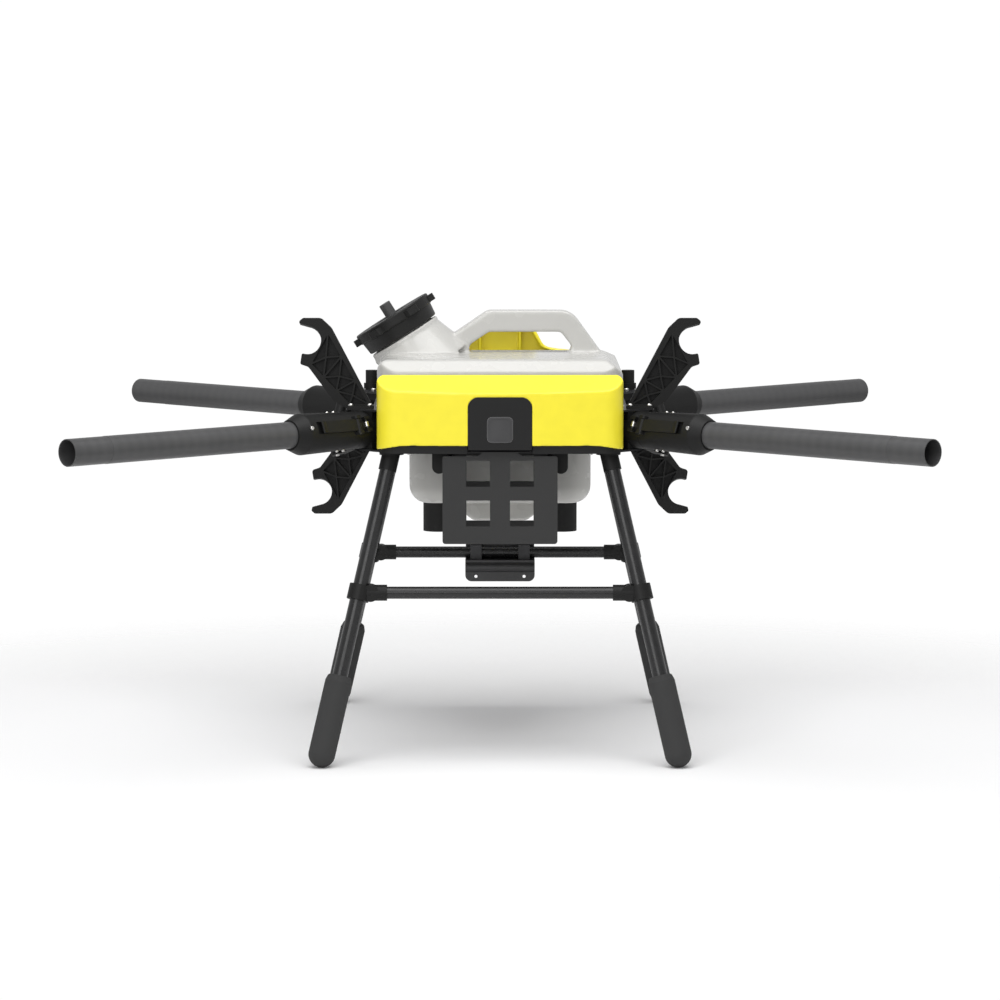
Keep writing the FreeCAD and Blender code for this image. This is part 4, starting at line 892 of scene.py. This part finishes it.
@dataclass
class LiquidTank:
    """The plug-in tank with its cap, its seal and its outlet."""

    voxel: float = 0.0016
    rounds: int = 9
    keep: float = 0.22

    def build(self) -> None:
        """Soften the tank and dress what goes with it."""
        piece = softened("moulded_tank", "tank", self.voxel, self.rounds, self.keep)
        piece.data.materials.clear()
        piece.data.materials.append(TANK_WHITE.material())
        hand_over(piece, "tank", TANK_WHITE.slot, "tank")
        dress("tank_outlet", OUTLET_GREY)
        dress("tank_cap", CAP_BLACK)
        dress("vent_knob", KNOB_GREY)
        dress("cap_gasket", SEAL_RUBBER)


@dataclass
class LandingGear:
    """The splayed legs with boots, sockets, crossbars and the sensor bracket."""

    back_half: float = 0.0485
    back_heights: tuple[float, float] = (0.2125, 0.246)
    back_thick: float = 0.0015
    back_gap: float = 0.001

    def leg_line(self, corner: str) -> Axis:
        """The line of one leg, from the corners of its box.

        Args:
            corner: The name of the corner.

        Returns:
            The leg's line.
        """
        low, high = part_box(f"{corner}_leg_tube")
        side = -1 if "left" in corner else 1
        end = -1 if "front" in corner else 1
        outer = Vector((low.x if side < 0 else high.x, low.y if end < 0 else high.y, low.z))
        inner = Vector((high.x if side < 0 else low.x, high.y if end < 0 else low.y, high.z))
        return Axis(tuple((outer + inner) / 2), tuple((inner - outer).normalized()))

    def dress(self) -> None:
        """Put the finishes on the landing gear."""
        for corner in CORNERS:
            line = self.leg_line(corner)
            dress(f"{corner}_leg_tube", LEG_CARBON, line, corner)
            dress(f"{corner}_leg_boot", BOOT_RUBBER)
        for bar in ("front_crossbar", "rear_crossbar"):
            low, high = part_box(bar)
            dress(bar, LEG_CARBON, Axis(tuple((low + high) / 2), (1.0, 0.0, 0.0)), bar)
        dress("leg_sockets", MOULDED_BLACK)
        dress("crossbar_clamps", MOULDED_BLACK)
        dress("radar_clamps", DARK_METAL)
        dress("radar_bracket", BRACKET_METAL)
        self._bracket_back()

    def _bracket_back(self) -> None:
        """Make the dark plate that backs the sensor bracket behind its crossbar."""
        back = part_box("rear_crossbar")[1].y + self.back_gap
        wide = self.back_half
        line = [(-wide, back), (0.0, back), (wide, back)]
        plate = swept("bracket_back", line, self.back_thick, *self.back_heights)
        plate.data.materials.append(DARK_METAL.material())
        hand_over(plate, "airframe", DARK_METAL.slot)


@dataclass(frozen=True)
class Lamp:
    """One soft square light."""

    name: str
    place: tuple[float, float, float]
    aim: tuple[float, float, float]
    width: float
    power: float


@dataclass
class Studio:
    """A pale floor, soft light and the camera."""

    camera_place: tuple[float, float, float] = (0.0, -5.693, 0.882)
    camera_pitch: float = 5.64
    lens: float = 151.6
    floor_reach: float = 3.0
    fade_start: float = 0.55
    fade_end: float = 1.5
    lamps: tuple[Lamp, ...] = (
        Lamp("overhead", (0.0, -0.9, 3.0), (0.0, 0.0, 0.3), 3.0, 85.0),
        Lamp("front_soft", (-1.4, -4.6, 1.9), (0.0, 0.0, 0.4), 2.6, 52.0))

    def build(self) -> None:
        """Make the floor, the lights and the camera."""
        self._floor()
        self._world()
        for lamp in self.lamps:
            self._light(lamp)
        self._camera()

    def _floor(self) -> None:
        """Make the pale floor."""
        mesh = bpy.data.meshes.new("studio_floor")
        reach = self.floor_reach
        mesh.from_pydata([(-reach, -reach, 0), (reach, -reach, 0), (reach, reach, 0), (-reach, reach, 0)],
                         [], [(0, 1, 2, 3)])
        floor = new_piece("studio_floor", mesh)
        made = bpy.data.materials.new("pale_floor")
        made.use_nodes = True
        graph = Graph(made.node_tree)
        place = graph.add("ShaderNodeTexCoord").outputs["Object"]
        cloud = graph.add("ShaderNodeTexNoise", {"Vector": place, "Scale": 1.5})
        ramp = graph.add("ShaderNodeValToRGB", {"Fac": cloud.outputs["Fac"]})
        ramp.color_ramp.elements[0].color = (0.93, 0.93, 0.93, 1.0)
        ramp.color_ramp.elements[1].color = (0.95, 0.95, 0.95, 1.0)
        shader = graph.add("ShaderNodeBsdfPrincipled", {"Base Color": ramp.outputs["Color"], "Roughness": 0.9,
                                                        "Specular IOR Level": 0.1})
        reach = graph.add("ShaderNodeVectorMath", {0: place}, operation="LENGTH").outputs["Value"]
        fade = graph.add("ShaderNodeMapRange", {"Value": reach, "From Min": self.fade_start,
                                                "From Max": self.fade_end}, interpolation_type="SMOOTHSTEP")
        clear = graph.add("ShaderNodeBsdfTransparent")
        mixed = graph.add("ShaderNodeMixShader", {0: fade.outputs["Result"], 1: shader.outputs["BSDF"],
                                                  2: clear.outputs["BSDF"]})
        graph.add("ShaderNodeOutputMaterial", {"Surface": mixed.outputs["Shader"]})
        mesh.materials.append(made)

    def _world(self) -> None:
        """Make the white surroundings."""
        world = bpy.data.worlds.new("white_studio")
        world.use_nodes = True
        graph = Graph(world.node_tree)
        way = graph.add("ShaderNodeTexCoord").outputs["Generated"]
        rise = graph.add("ShaderNodeSeparateXYZ", {"Vector": way}).outputs["Z"]
        level = graph.add("ShaderNodeMapRange", {"Value": rise, "From Min": -1.0, "From Max": 1.0})
        ramp = graph.add("ShaderNodeValToRGB", {"Fac": level.outputs["Result"]})
        ramp.color_ramp.elements[0].position = 0.3
        ramp.color_ramp.elements[0].color = (0.22, 0.22, 0.22, 1.0)
        ramp.color_ramp.elements[1].position = 0.9
        ramp.color_ramp.elements[1].color = (0.30, 0.30, 0.31, 1.0)
        middle = ramp.color_ramp.elements.new(0.54)
        middle.color = (0.85, 0.85, 0.85, 1.0)
        soft = graph.add("ShaderNodeBackground", {"Color": ramp.outputs["Color"], "Strength": 0.9})
        white = graph.add("ShaderNodeBackground", {"Color": (1.0, 1.0, 1.0, 1.0), "Strength": 1.02})
        seen = graph.add("ShaderNodeLightPath").outputs["Is Camera Ray"]
        mixed = graph.add("ShaderNodeMixShader", {0: seen, 1: soft.outputs["Background"],
                                                  2: white.outputs["Background"]})
        graph.add("ShaderNodeOutputWorld", {"Surface": mixed.outputs["Shader"]})
        bpy.context.scene.world = world

    def _light(self, lamp: Lamp) -> None:
        """Make one soft area light.

        Args:
            lamp: Where it stands, what it faces, its width and its power.
        """
        data = bpy.data.lights.new(lamp.name, "AREA")
        data.energy = lamp.power
        data.size = lamp.width
        thing = bpy.data.objects.new(lamp.name, data)
        thing.location = lamp.place
        thing.rotation_euler = (Vector(lamp.aim) - Vector(lamp.place)).to_track_quat("-Z", "Y").to_euler()
        bpy.context.scene.collection.objects.link(thing)

    def _camera(self) -> None:
        """Make the camera in front of the nose, a little above it."""
        data = bpy.data.cameras.new("camera")
        data.lens = self.lens
        data.sensor_width = 36.0
        data.clip_end = 200.0
        thing = bpy.data.objects.new("camera", data)
        thing.location = self.camera_place
        thing.rotation_euler = (math.radians(90.0 - self.camera_pitch), 0.0, 0.0)
        bpy.context.scene.collection.objects.link(thing)
        bpy.context.scene.camera = thing
        bpy.context.scene.view_settings.view_transform = "Standard"


def main() -> None:
    """Build the studio and every sub-assembly."""
    logging.basicConfig(level=logging.INFO, format="%(name)s: %(message)s")
    Studio().build()
    steel = BRIGHT_STEEL.material()
    heads, pins, dark_pins = ButtonHeads(steel), RoundPins(steel), RoundPins(DARK_METAL.material())
    plates = PlateStack()
    plates.dress()
    plates.fasteners(heads, pins, dark_pins)
    for corner in CORNERS:
        arm = FoldingArm(corner)
        arm.dress()
        arm.fasteners(heads, pins)
    Covers().build()
    EquipmentCage().dress()
    LiquidTank().build()
    LandingGear().dress()


if __name__ == "__main__":
    main()
